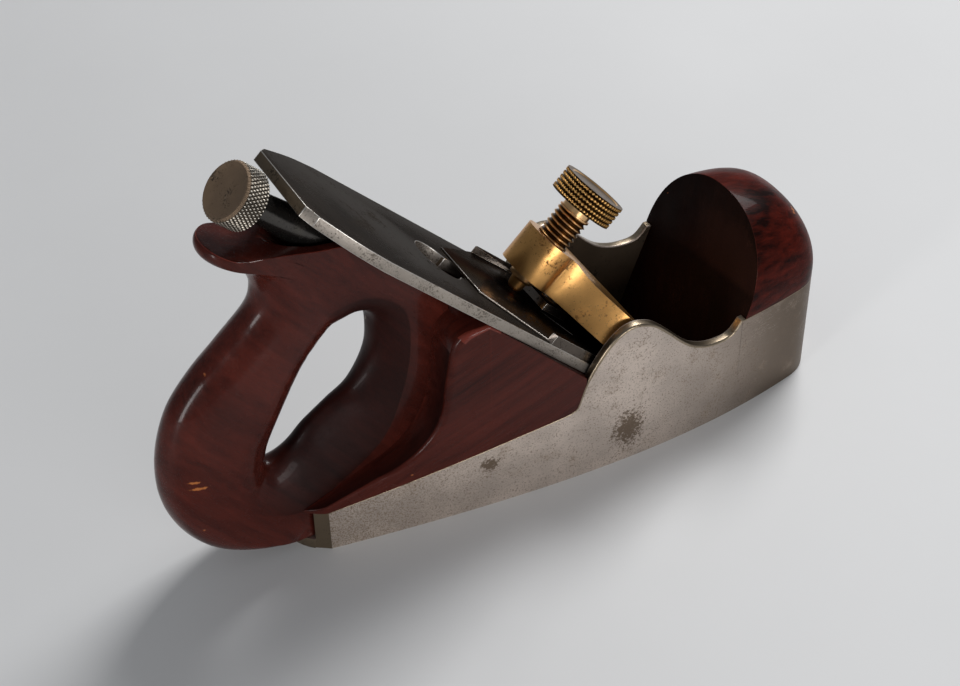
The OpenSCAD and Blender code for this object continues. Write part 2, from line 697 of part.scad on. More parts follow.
// Screw that holds the cap iron; its round head sits in the cup ring
cap_screw_head_h = 5.4;
module cap_iron_screw() {
    color(steel)
        on_bed() translate([cap_screw_l, 0, 0]) {
            translate([0, 0, -iron_t - cap_screw_head_h])
                cylinder(h = cap_screw_head_h, d = ring_bore_d - 0.2);
            translate([0, 0, -iron_t]) cylinder(h = iron_t + cap_boss_d - 0.4, d = cap_screw_d);
        }
}

// Rod through both sides on which the lever cap turns, filed flush with them
module lever_rod() {
    color(steel)
        intersection() {
            on_bed() translate([pivot_l, 0, pivot_d]) rotate([90, 0, 0])
                cylinder(h = far, d = pivot_rod_d, center = true);
            linear_extrude(far / 2) plan();
        }
}

// Lever cap: boss for the screw, arms that flare to full width, nose on the cap iron's hump
lever_boss_top_d = 25;
lever_boss_low_d = 10.7;
nose_d_rest = cap_t + cap_hump + 0.05;
lever_pocket_top_d = 15;
pocket_gap = 3;
module lever_cap() {
    half = lever_w / 2;
    flank = smooth([[lever_screw_l, lever_boss_r - 1], [lever_screw_l - 5, lever_boss_r - 0.4],
        [lever_screw_l - 10, lever_boss_r + 2.6], [lever_screw_l - 20, half - 5.6],
        [lever_screw_l - 26, half - 0.6], [lever_screw_l - 30, half]], 4);
    upper = smooth([[lever_screw_l + lever_boss_r, lever_boss_top_d + 0.4],
        [lever_screw_l - 4, lever_boss_top_d - 0.4], [lever_screw_l - 14, lever_boss_top_d - 2.8],
        [pivot_l + 8, pivot_d + 8.8], [pivot_l - 4, pivot_d + 7], [pivot_l - 18, pivot_d + 2.4],
        [hump_l + 8, nose_d_rest + 5], [hump_l + 1.5, nose_d_rest + 3.2]], 4);
    color(gunmetal)
        on_bed()
            difference() {
                intersection() {
                    rotate([90, 0, 0]) linear_extrude(far, center = true)
                        polygon(concat(upper, [[hump_l - 0.6, nose_d_rest + 1.8], [hump_l, nose_d_rest],
                            [hump_l + 2.4, nose_d_rest], [hump_l + 8, nose_d_rest + 1.4],
                            [pivot_l - 8, pivot_d - 5], [pivot_l + 10, pivot_d - 3.9],
                            [lever_screw_l + lever_boss_r, lever_boss_low_d + 0.1]]));
                    linear_extrude(far, center = true)
                        union() {
                            translate([lever_screw_l, 0]) circle(r = lever_boss_r, $fn = 72);
                            polygon(concat([[0, -half]], mirrored(flank), flank, [[0, half]]));
                        }
                }
                translate([pivot_l, 0, pivot_d]) rotate([90, 0, 0])
                    cylinder(h = far, d = pivot_rod_d + 2 * running, center = true);
                translate([lever_screw_l, 0, -far / 2]) cylinder(h = far, d = lever_screw_d + 2 * running);
                translate([cap_screw_l - cap_boss_l / 2 - pocket_gap, -cap_boss_w / 2 - pocket_gap, 0])
                    cube([cap_boss_l + 2 * pocket_gap, cap_boss_w + 2 * pocket_gap, lever_pocket_top_d]);
            }
}

// Lever screw: threaded shank and plain neck
lever_head_d0 = 39.6;
lever_neck_d = 10.6;
lever_neck_l = 2.6;
lever_core_d = 9.6;
shank_low_d = 7.6;
thread_low_d = 10;
tip_socket_d = 4;
tip_socket_top_d = 13;
module lever_screw() {
    color(gunmetal)
        on_bed() translate([lever_screw_l, 0, 0])
            difference() {
                rotate_extrude()
                    polygon([[0, shank_low_d], [lever_core_d / 2 - 0.8, shank_low_d],
                        [lever_core_d / 2, shank_low_d + 0.8], [lever_core_d / 2, thread_low_d],
                        [lever_screw_d / 2, thread_low_d + 1],
                        [lever_screw_d / 2, lever_head_d0 - lever_neck_l - 0.7],
                        [lever_neck_d / 2, lever_head_d0 - lever_neck_l], [lever_neck_d / 2, lever_head_d0],
                        [0, lever_head_d0]]);
                cylinder(h = tip_socket_top_d + 0.2, d = tip_socket_d + 2 * running);
            }
}

// Head of the lever screw: a drum with turned grooves
groove_w = 0.9;
groove_depth = 1.1;
module lever_screw_head() {
    r = lever_head_d / 2;
    bead = (lever_head_h - lever_grooves * groove_w) / (lever_grooves + 1);
    grooves = [for (i = [1 : lever_grooves]) let (z = i * bead + (i - 1) * groove_w)
        each [[r, z], [r - groove_depth, z + groove_w / 2], [r, z + groove_w]]];
    color(gunmetal)
        on_bed() translate([lever_screw_l, 0, lever_head_d0])
            rotate_extrude()
                polygon(concat([[0, 0], [r - 0.5, 0], [r, 0.5]], grooves,
                    [[r, lever_head_h - 0.4], [r - 0.4, lever_head_h], [0, lever_head_h]]));
}

// Small foot in the end of the lever screw; it bears on the cap iron
tip_gap = 0.05;
tip_end_d = 5.4;
module lever_screw_tip() {
    color(gunmetal)
        on_bed() translate([lever_screw_l, 0, 0])
            rotate_extrude()
                polygon([[0, cap_t + tip_gap], [tip_end_d / 2 - 0.7, cap_t + tip_gap],
                    [tip_end_d / 2, cap_t + tip_gap + 0.8], [tip_end_d / 2 + 0.5, shank_low_d - running],
                    [tip_socket_d / 2, shank_low_d - running], [tip_socket_d / 2, tip_socket_top_d],
                    [0, tip_socket_top_d]]);
}

sole_plate();
side_right();
side_left();
front_infill();
rear_infill();
handle();
adjuster_plate();
plate_screw_upper();
plate_screw_lower();
pivot_stud();
swivel_block();
adjuster_barrel();
adjuster_knob();
spindle();
cup_ring();
cutting_iron();
cap_iron();
cap_iron_screw();
lever_rod();
lever_cap();
lever_screw();
lever_screw_head();
lever_screw_tip();
sole_screw_1();
sole_screw_2();
sole_screw_3();
sole_screw_4();
sole_screw_5();
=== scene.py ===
"""Dressed pieces, finishes, lamps and camera of the infill smoothing plane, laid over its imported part.

Shape functions work in millimetres in the part's own frame: x to the toe, y to the left, z up from
the sole. A mesh is scaled to metres when it is made.
"""

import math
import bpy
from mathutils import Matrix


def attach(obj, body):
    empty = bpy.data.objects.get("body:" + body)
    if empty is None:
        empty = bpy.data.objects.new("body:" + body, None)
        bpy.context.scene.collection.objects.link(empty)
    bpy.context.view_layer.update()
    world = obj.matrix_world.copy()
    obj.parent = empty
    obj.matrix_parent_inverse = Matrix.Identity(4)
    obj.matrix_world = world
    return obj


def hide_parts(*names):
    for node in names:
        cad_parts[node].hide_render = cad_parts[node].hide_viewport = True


bl_info = {
    "name": "Infill smoothing plane",
    "version": (1, 0, 0),
    "blender": (4, 5, 0),
    "location": "3D View > Sidebar > Plane",
    "description": "Builds the dressed pieces and finishes of an infill smoothing plane",
    "category": "Object",
}

from contextlib import contextmanager

import bmesh
import bpy
import numpy as np
from bpy.props import FloatProperty, FloatVectorProperty, IntProperty, PointerProperty
from mathutils import Matrix, Vector

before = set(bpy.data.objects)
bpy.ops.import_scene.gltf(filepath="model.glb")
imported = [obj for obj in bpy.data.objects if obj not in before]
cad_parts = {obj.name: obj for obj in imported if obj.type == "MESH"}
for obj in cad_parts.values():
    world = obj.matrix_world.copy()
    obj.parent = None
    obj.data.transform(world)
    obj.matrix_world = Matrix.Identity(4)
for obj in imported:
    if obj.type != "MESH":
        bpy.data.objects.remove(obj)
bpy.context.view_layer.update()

MM = 0.001

# Main lines of the part, as in its source
EDGE_X = 141.5
BED = math.radians(47.5)
PLAN_X = np.array([0.0, 45.0, 95.0, 140.0, 190.0])
HALF_W = np.array([15.9, 24.45, 31.0, 32.65, 27.1])
TOE_START, TOE_X, TOE_POWER, TOE_GAP = 183.0, 199.0, 3.0, 17.0
SOLE_T, SIDE_T = 4.5, 3.2
HEEL_R, HEEL_H, CHEEK_SLOPE, HEEL_VOID_X = 17.2, 18.0, 0.172, 7.0
HEEL_C = math.sqrt(HEEL_R**2 - HALF_W[0] ** 2)
HUMP_X, HUMP_H, CUSP_X, CUSP_H, TOE_H = 111.0, 63.8, 157.0, 43.9, 42.6
THROAT_LEAN = math.radians(20)
MOUTH_X = 142.6
BED_FACE_D = -3.9
HANDLE_T, HANDLE_FRONT_X = 22.0, 52.0
BARREL_AXIS_D = -11.6
MOUTH_W = 57.0
SCREW_XS = (24.0, 72.0, 108.0, 158.0, 177.0)
SCREW_HOLE = [[0, -1], [5, -1], [5, 0], [2.4, 3.2], [2.4, 6], [0, 6]]

# Lever cap's rod (up the iron, above it, radius) and screw (up the iron), head and knob
LEVER_ROD = (55.6, 12, 3)
LEVER_SCREW_L = 91.8
HEAD_LOW, HEAD_HIGH, HEAD_R, HEAD_RIDGES = 39.6, 47.8, 11.8, 5
KNOB_LOW, KNOB_HIGH, KNOB_R, KNURL_LEAD = 209.6, 218.9, 10.0, 2.3

# Room left between wood and side plates, and between the handle and its slot
WOOD_FIT, HANDLE_FIT = 0.12, 0.02


# Curves


def bed_point(l, y, d):
    """Point l up the iron from the edge, y across and d above its top face, in the part's frame."""
    l, y, d = np.broadcast_arrays(np.asarray(l, float), np.asarray(y, float), np.asarray(d, float))
    x = EDGE_X - l * math.cos(BED) + d * math.sin(BED)
    return np.stack([x, y, l * math.sin(BED) + d * math.cos(BED)], -1)


def bed_height(x):
    """Height of the wooden bed over the sole at x."""
    return ((EDGE_X - x) * math.sin(BED) + BED_FACE_D) / math.cos(BED)


def bed_reach(z):
    """Where the wooden bed passes height z."""
    return EDGE_X + (BED_FACE_D - z * math.cos(BED)) / math.sin(BED)


def plan_half(x):
    """Half width of the plan: the fourth-power curve through five stations, times a toe that closes as
    a power of three, and a circle at the heel."""
    x = np.asarray(x, float)
    curve = np.polyval(np.polyfit(PLAN_X, HALF_W, 4), np.maximum(x, 0))
    u = np.clip((x - TOE_START) / (TOE_X - TOE_START), 0, 1)
    heel = np.sqrt(np.maximum(HEEL_R**2 - (np.minimum(x, 0) - HEEL_C) ** 2, 0))
    return np.where(x < 0, heel, curve * (1 - u**TOE_POWER) ** (1 / TOE_POWER))


def plan_point(x, inset):
    """Point of the right-hand plan edge at x, moved in along the edge's normal by inset."""
    x = np.asarray(x, float)
    step = 0.02
    low, high = np.maximum(x - step, 0), np.minimum(np.maximum(x, 0) + step, TOE_X)
    dx, dy = high - low, plan_half(low) - plan_half(high)
    size = np.hypot(dx, dy)
    return x - inset * dy / size, -plan_half(x) + inset * dx / size


def smooth_path(points, steps):
    """Catmull-Rom curve through the points: each stretch is the cubic that leaves its two ends along
    the lines between their neighbours."""
    points = np.asarray(points, float)
    n = len(points)
    t = np.arange(steps) / steps
    basis = 0.5 * np.stack([-t + 2 * t**2 - t**3, 2 - 5 * t**2 + 3 * t**3,
                            t + 4 * t**2 - 3 * t**3, -(t**2) + t**3], 1)
    near = np.clip(np.arange(n - 1)[:, None] + np.arange(-1, 3), 0, n - 1)
    curve = np.einsum("sk,nk...->ns...", basis, points[near]).reshape(-1, *points.shape[1:])
    return np.concatenate([curve, points[-1:]])


def ring_path(values, steps):
    """The same curve through values that close on themselves."""
    values = np.asarray(values, float)
    wrapped = np.concatenate([values[-1:], values, values[:2]])
    return smooth_path(wrapped, steps)[steps:-(steps + 1)]


HUMP = smooth_path([[85, HEEL_H + 14.1], [89.3, HEEL_H + 15.8], [91.4, HEEL_H + 21.5],
                    [93.1, HUMP_H - 19.3], [96.8, HUMP_H - 12.3], [101.5, HUMP_H - 5.6],
                    [106.4, HUMP_H - 1.3], [HUMP_X, HUMP_H], [115.4, HUMP_H - 1], [120, HUMP_H - 3.8],
                    [126, HUMP_H - 10.1], [131, HUMP_H - 16], [136, HUMP_H - 20.6],
                    [142, CUSP_H - 3.7], [148, CUSP_H - 4.8], [153, CUSP_H - 4.1], [157, CUSP_H]], 12)


def side_height(x):
    """Height of the side plates at x: a sloping cheek, the hump, the hollow to the cusp, the toe."""
    x = np.asarray(x, float)
    hump = np.interp(x, HUMP[:, 0], HUMP[:, 1])
    front = CUSP_H + (TOE_H - CUSP_H) * (x - CUSP_X) / (TOE_X + 1 - CUSP_X)
    cheek_x = np.array([-HEEL_R, 36, 70, 85])
    cheek = np.interp(x, cheek_x, [*(HEEL_H + cheek_x[:3] * CHEEK_SLOPE), HEEL_H + 14.1])
    return np.where(x < 85, cheek, np.where(x > CUSP_X, front, hump))


# Meshes


def grid_quads(rows, cols, close_rows):
    """Quads of a grid numbered row by row, whose last column joins its first; rows may join too."""
    i, j = np.meshgrid(np.arange(rows if close_rows else rows - 1), np.arange(cols), indexing="ij")
    low, high = i * cols, ((i + 1) % rows) * cols
    return np.stack([low + j, low + (j + 1) % cols, high + (j + 1) % cols, high + j], -1).reshape(-1, 4)


def linked(name, data):
    """A new object of the scene."""
    new = bpy.data.objects.new(name, data)
    bpy.context.scene.collection.objects.link(new)
    return new


@contextmanager
def opened(mesh):
    """The mesh open for bmesh's operations, written back at the end."""
    work = bmesh.new()
    work.from_mesh(mesh)
    yield work
    work.to_mesh(mesh)
    work.free()


def grid_piece(name, grid, close_rows=False, capped=True, tags=None, hollow=None, first_cap=0):
    """One closed mesh from a grid of points in mm whose columns join up; its rows join up too, or its
    two end rows are capped. Tags holds a material index for the face that each point starts, and
    hollow how deep each point lies in a groove, and on wood how far painted shade darkens it, kept
    as an attribute for the shader."""
    rows, cols = grid.shape[:2]
    faces = grid_quads(rows, cols, close_rows)
    index = np.zeros(len(faces), int) if tags is None else tags.reshape(-1)[faces[:, 0]]
    faces = faces.tolist()
    if capped:
        faces += [list(range(cols))[::-1], list(range((rows - 1) * cols, rows * cols))]
        index = np.append(index, [first_cap, 0])
    mesh = bpy.data.meshes.new(name)
    mesh.from_pydata((grid.reshape(-1, 3) * MM).tolist(), [], faces)
    mesh.polygons.foreach_set("material_index", index.astype(np.int32))
    if hollow is not None:
        depth = mesh.attributes.new("hollow", "FLOAT", "POINT")
        depth.data.foreach_set("value", hollow.reshape(-1).astype(np.float32))
    with opened(mesh) as work:
        bmesh.ops.remove_doubles(work, verts=work.verts, dist=0.004 * MM)
        bmesh.ops.dissolve_degenerate(work, edges=work.edges, dist=0.001 * MM)
        bmesh.ops.recalc_face_normals(work, faces=work.faces)
    return linked(name, mesh)


def prism(name, outline, low, high, place):
    """An outline drawn out between two heights, then placed by a function of its three numbers."""
    x, y = np.asarray(outline, float).T
    return grid_piece(name, np.stack([place(x, y, np.full(len(x), z)) for z in (low, high)]))


def plain_place(x, y, z):
    """Places a point where its three numbers say, in the part's frame."""
    return np.stack(np.broadcast_arrays(x, y, z), -1)


def turned(name, profile, steps, place, rise=None):
    """A profile of (radius, height) turned about its axis; rise may add to the radius by angle and
    height. Place takes the two offsets from the axis and the height along it."""
    profile = np.asarray(profile, float)
    radius, height = np.repeat(profile[:, :1], steps, 1), np.repeat(profile[:, 1:], steps, 1)
    angle = np.broadcast_to(np.arange(steps) * 2 * math.pi / steps, radius.shape)
    hollow = np.zeros(radius.shape)
    if rise is not None:
        drop = rise(angle, height, radius)
        radius = radius + drop
        hollow = drop / drop.min()
    grid = place(radius * np.cos(angle), radius * np.sin(angle), height)
    return grid_piece(name, grid, capped=False, hollow=hollow)


def upright(l):
    """Places a turned piece on an axis that stands on the iron at l."""
    return lambda a, b, height: bed_point(l + a, b, height)


def lengthwise(d):
    """Places a turned piece on an axis along the iron at height d."""
    return lambda a, b, height: bed_point(height, a, d + b)


def across_at(l, d):
    """Places a turned piece on an axis across the body."""
    return lambda a, b, height: bed_point(l + a, height, d + b)


def upright_x(x):
    """Places a turned piece on an upright axis at x, on the centre line."""
    return lambda a, b, height: plain_place(x + a, b, height)


def bake_modifiers(piece):
    """Replaces the piece's mesh by what its modifiers make of it."""
    graph = bpy.context.evaluated_depsgraph_get()
    mesh = bpy.data.meshes.new_from_object(piece.evaluated_get(graph))
    piece.modifiers.clear()
    old = piece.data
    piece.data = mesh
    bpy.data.meshes.remove(old)


def carve(piece, cutters):
    """Takes the cutters out of the piece and deletes them."""
    for cutter in cutters:
        cut = piece.modifiers.new("cut", "BOOLEAN")
        cut.operation = "DIFFERENCE"
        cut.solver = "EXACT"
        cut.object = cutter
        bake_modifiers(piece)
        bpy.data.objects.remove(cutter)


def soften(piece, width, segments=2, angle=30, worn=None):
    """Rounds the sharp edges with a Bevel modifier; worn is the material index of the rounding."""
    bevel = piece.modifiers.new("rounding", "BEVEL")
    bevel.width = width * MM
    bevel.segments = segments
    bevel.limit_method = "ANGLE"
    bevel.angle_limit = math.radians(angle)
    if worn is not None:
        bevel.material = worn
    bake_modifiers(piece)


def fillet(piece, radius):
    """Fills the piece's long inner corners with a round of this radius."""
    with opened(piece.data) as work:
        corners = [edge for edge in work.edges if edge.is_manifold and not edge.is_convex
                   and edge.calc_face_angle() > math.radians(18) and edge.calc_length() > 2 * MM]
        bmesh.ops.bevel(work, geom=corners, offset=radius * MM, segments=5, affect="EDGES",
                        clamp_overlap=True)


def copy_of(node, name):
    """A merged copy of a node's mesh with its flat faces joined, ready to be rounded."""
    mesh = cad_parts[node].data.copy()
    with opened(mesh) as work:
        bmesh.ops.remove_doubles(work, verts=work.verts, dist=0.002 * MM)
        bmesh.ops.dissolve_limit(work, angle_limit=math.radians(0.4), verts=work.verts, edges=work.edges)
    mesh.materials.clear()
    return linked(name, mesh)


def paint(piece, *names):
    """Gives a piece its finishes; a face's material index picks one."""
    for name in names:
        piece.data.materials.append(finishes[name])


def dress(name, *nodes):
    """Gives CAD nodes that stay their finish."""
    for node in nodes:
        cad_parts[node].data.materials.clear()
        paint(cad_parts[node], name)


def settle(piece, body, node, angle=32):
    """Shades a finished piece smooth up to an angle, hangs it under its body and hides the CAD node that it
    replaces.
    """
    piece.data.shade_smooth()
    piece.data.set_sharp_from_angle(angle=math.radians(angle))
    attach(piece, body)
    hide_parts(node)


# Shader building


def is_socket(value):
    return isinstance(value, bpy.types.NodeSocket)


def put(socket, value):
    """Links another socket's value in, or sets a plain one."""
    if is_socket(value):
        socket.id_data.links.new(value, socket)
    else:
        socket.default_value = value


def add(tree, kind, inputs=None, **settings):
    """A node with its settings and its inputs."""
    node = tree.nodes.new(kind)
    for key, value in settings.items():
        setattr(node, key, value)
    for key, value in (inputs or {}).items():
        put(node.inputs[key], value)
    return node


def join(kind, inputs, **settings):
    """The outputs of a new node in the tree that the first socket among its inputs belongs to."""
    tree = next(value.id_data for value in inputs.values() if is_socket(value))
    return add(tree, kind, inputs, **settings).outputs


def math_of(operation, *values):
    return join("ShaderNodeMath", dict(enumerate(values)), operation=operation)[0]


def times(first, second):
    return math_of("MULTIPLY", first, second)


def plus(first, second):
    return math_of("ADD", first, second)


def minus(first, second):
    return math_of("SUBTRACT", first, second)


def vector_of(operation, *values):
    return join("ShaderNodeVectorMath", dict(enumerate(values)), operation=operation)


def stretched(vector, scale):
    return vector_of("MULTIPLY", vector, scale)[0]


def mix_colour(factor, first, second):
    """Goes from the first colour to the second as the factor goes from 0 to 1."""
    first, second = ((*c[:3], 1) if isinstance(c, tuple) else c for c in (first, second))
    return join("ShaderNodeMix", {0: factor, 6: first, 7: second}, data_type="RGBA")[2]


def ramp(factor, low, high, kind="SMOOTHSTEP"):
    """Goes from 0 to 1 as the factor goes from low to high."""
    return join("ShaderNodeMapRange", {"Value": factor, "From Min": low, "From Max": high},
                interpolation_type=kind)[0]


def noise(vector, scale, detail=4, roughness=0.55, distortion=0.0):
    return join("ShaderNodeTexNoise", {"Vector": vector, "Scale": scale, "Detail": detail,
                                       "Roughness": roughness, "Distortion": distortion})["Fac"]


def centred(vector, scale, detail=4, roughness=0.55):
    """The same noise about zero."""
    return minus(noise(vector, scale, detail, roughness), 0.5)


def hollow_at(vector):
    """The attribute that says how deep a point lies in a groove on metal, and on wood how far painted shade
    darkens and dulls it.
    """
    return add(vector.id_data, "ShaderNodeAttribute", attribute_name="hollow").outputs["Fac"]


def new_group(name, inputs, outputs):
    """An empty shader group with named sockets. An input's default tells its kind: one number, three
    for a vector, four for a colour. The output named Colour is a colour, the others are numbers."""
    tree = bpy.data.node_groups.new(name, "ShaderNodeTree")
    for label, value in {"Vector": (0, 0, 0), **inputs}.items():
        kind = {1: "NodeSocketFloat", 3: "NodeSocketVector", 4: "NodeSocketColor"}[np.size(value)]
        tree.interface.new_socket(label, in_out="INPUT", socket_type=kind).default_value = value
    for label in outputs:
        kind = "NodeSocketColor" if label == "Colour" else "NodeSocketFloat"
        tree.interface.new_socket(label, in_out="OUTPUT", socket_type=kind)
    return add(tree, "NodeGroupInput").outputs


def place_group(name, **inputs):
    return join("ShaderNodeGroup", inputs, node_tree=bpy.data.node_groups[name])


def wood_figure_group():
    """Bands of the grain from a broad and a fine noise drawn out along it, and its open pores."""
    given = new_group("Wood figure", {"Dark": (0.01, 0.003, 0.002, 1), "Light": (0.1, 0.02, 0.01, 1),
                                      "Contrast": 0.5}, ["Colour", "Pores"])
    vector, contrast = given["Vector"], given["Contrast"]
    broad = noise(stretched(vector, (0.006, 0.05, 0.05)), 1.0, 5, 0.6, 0.6)
    lines = noise(stretched(vector, (0.012, 0.32, 0.32)), 1.0, 5, 0.65, 0.35)
    pores = ramp(noise(stretched(vector, (0.11, 3.2, 3.2)), 1.0, 2, 0.5), 0.60, 0.72)
    bands = plus(times(broad, 0.55), times(lines, 0.45))
    spread = ramp(bands, 0.36, 0.66, "LINEAR")
    eased = plus(times(spread, contrast), times(minus(1.0, contrast), 0.5))
    colour = mix_colour(eased, given["Dark"], given["Light"])
    darker = mix_colour(times(pores, 0.45), colour, (0.004, 0.001, 0.001))
    join("NodeGroupOutput", {"Colour": darker, "Pores": pores})


def dents_group():
    """Small dents at a few of the cells of a Voronoi pattern, each with a size of its own."""
    given = new_group("Dents", {"Scale": 0.1, "Reach": 0.12}, ["Mask", "Depth"])
    wobble = join("ShaderNodeTexNoise", {"Vector": given["Vector"], "Scale": 0.45, "Detail": 3.0})["Color"]
    moved = vector_of("MULTIPLY_ADD", wobble, (1.6, 1.6, 1.6), given["Vector"])[0]
    cells = join("ShaderNodeTexVoronoi", {"Vector": moved, "Scale": given["Scale"], "Randomness": 1.0})
    pick = join("ShaderNodeSeparateColor", {"Color": cells["Color"]})[0]
    limit = times(given["Reach"], math_of("POWER", pick, 3.0))
    mask = ramp(minus(limit, cells["Distance"]), 0.0, 0.02, "LINEAR")
    join("NodeGroupOutput", {"Mask": mask, "Depth": times(mask, -1.0)})


def scratches_group():
    """Thin lines along the middle value of a drawn-out noise, in patches."""
    given = new_group("Scratches", {"Along": (0.03, 1, 1), "Density": 0.5}, ["Mask"])
    warped = noise(given["Vector"], 0.02, 2, 0.5)
    bent = vector_of("MULTIPLY_ADD", warped, (6, 6, 6), given["Vector"])[0]
    crest = math_of("ABSOLUTE", centred(stretched(bent, given["Along"]), 1.3, 2, 0.6))
    thin = minus(1.0, ramp(crest, 0.0, 0.012))
    patches = ramp(noise(given["Vector"], 0.07, 3, 0.6), 0.52, 0.62)
    join("NodeGroupOutput", {"Mask": times(times(thin, patches), given["Density"])})


def pitting_group():
    """Dark specks of a fine noise, thicker where a broad noise is high, and the stains there."""
    given = new_group("Pitting", {"Scale": 1.0, "Amount": 0.5, "Cover": 0.56},
                      ["Specks", "Stain", "Height"])
    fine = noise(given["Vector"], given["Scale"], 6, 0.7)
    cloud = noise(given["Vector"], times(given["Scale"], 0.08), 4, 0.6)
    raised = plus(fine, times(minus(cloud, 0.5), given["Amount"]))
    specks = ramp(raised, given["Cover"], plus(given["Cover"], 0.14))
    join("NodeGroupOutput", {"Specks": specks, "Stain": ramp(cloud, 0.56, 0.72),
                             "Height": times(raised, -1.0)})


def spot_group():
    """One ragged spot: the distance from its centre in shares of its half sizes, torn by a noise."""
    given = new_group("Spot", {"Centre": (0, 0, 0), "Size": (5, 5, 5), "Ragged": 0.8}, ["Mask"])
    away = vector_of("SUBTRACT", given["Vector"], given["Centre"])[0]
    far = vector_of("LENGTH", vector_of("DIVIDE", away, given["Size"])[0])["Value"]
    torn = times(centred(given["Vector"], 0.9, 5, 0.7), times(given["Ragged"], 4.0))
    mask = minus(1.0, ramp(plus(far, torn), 0.55, 1.0))
    join("NodeGroupOutput", {"Mask": mask})


def edge_wear_group():
    """Arrises, where the surface is most pointed, broken up by a noise."""
    given = new_group("Edge wear", {"Low": 0.52, "High": 0.56}, ["Mask"])
    pointed = add(given["Vector"].id_data, "ShaderNodeNewGeometry").outputs["Pointiness"]
    broken = times(centred(given["Vector"], 0.6), 0.03)
    mask = ramp(plus(pointed, broken), given["Low"], given["High"])
    join("NodeGroupOutput", {"Mask": mask})


def new_material(name, **constants):
    """A Principled material, its shader and its coordinates in millimetres."""
    material = bpy.data.materials.new(name)
    material.use_nodes = True
    tree = material.node_tree
    shader = tree.nodes["Principled BSDF"]
    for key, value in constants.items():
        shader.inputs[key.replace("_", " ")].default_value = value
    coordinates = add(tree, "ShaderNodeTexCoord").outputs["Object"]
    mapped = join("ShaderNodeMapping", {"Vector": coordinates, "Scale": (1 / MM, 1 / MM, 1 / MM)})[0]
    return material, shader, mapped


def turned_about(vector, angles):
    return join("ShaderNodeVectorRotate", {"Vector": vector, "Rotation": angles},
                rotation_type="EULER_XYZ")[0]


def bump_into(shader, height, distance, strength=1.0, before=None):
    """Bumps the shader's normal by a height over a distance in mm, on top of an earlier bump."""
    inputs = {"Height": height, "Distance": distance * MM, "Strength": strength}
    if before is not None:
        inputs["Normal"] = before
    bumped = join("ShaderNodeBump", inputs)[0]
    put(shader.inputs["Normal"], bumped)
    return bumped


def marked_by(colour, vector, spots, tint):
    """Lays ragged spots of one colour over another; a spot is (centre in mm, size in mm, ragged)."""
    for centre, size, ragged in spots:
        mask = place_group("Spot", Vector=vector, Centre=centre, Size=size, Ragged=ragged)["Mask"]
        colour = mix_colour(mask, colour, tint)
    return colour


def shaded(colour, share):
    return tuple(min(1, c * share) for c in colour)


def rosewood(name, dark, light, turn, contrast=0.8, dent_scale=0.07, spots=(), polish=0.14, dull=0.0):
    """Polished rosewood: banded figure, open pores, scattered dents and paler worn arrises. The hollow
    attribute paints shade into it: it darkens and dulls the wood."""
    material, shader, straight = new_material(
        name, Coat_Roughness=0.07, Specular_IOR_Level=0.10 if dull == 0 else 0.04)
    vector = turned_about(straight, turn)
    figure = place_group("Wood figure", Vector=vector, Dark=(*dark, 1), Light=(*light, 1), Contrast=contrast)
    dents = place_group("Dents", Vector=vector, Scale=dent_scale, Reach=0.10)
    scratches = place_group("Scratches", Vector=vector, Along=(0.05, 0.9, 0.9), Density=0.25)
    wear = place_group("Edge wear", Vector=vector, Low=0.54, High=0.62)
    deep = hollow_at(vector)
    colour = mix_colour(times(wear["Mask"], 0.4), figure["Colour"], shaded(light, 2.4))
    colour = mix_colour(times(dents["Mask"], 0.85), colour, (0.30, 0.09, 0.03))
    colour = mix_colour(scratches["Mask"], colour, (0.12, 0.045, 0.03))
    colour = marked_by(colour, straight, spots, (0.36, 0.12, 0.035))
    # Painted shade: the hollow attribute darkens the wood towards near black
    colour = mix_colour(times(deep, 0.75), colour, (0.004, 0.0012, 0.001))
    put(shader.inputs["Base Color"], colour)
    put(shader.inputs["Coat Weight"], times(minus(1.0, times(deep, 0.8)), polish))
    cloudy = times(ramp(noise(vector, 0.09), 0.45, 0.7), 0.12)
    rough = plus(plus(plus(0.20, times(figure["Pores"], 0.16)), cloudy), dull)
    put(shader.inputs["Roughness"], plus(rough, times(deep, 0.2)))
    first = bump_into(shader, times(figure["Pores"], -1.0), 0.03)
    second = bump_into(shader, noise(vector, 0.16, 3), 0.3, 0.5, first)
    bump_into(shader, dents["Depth"], 0.18, 1.0, second)
    return material


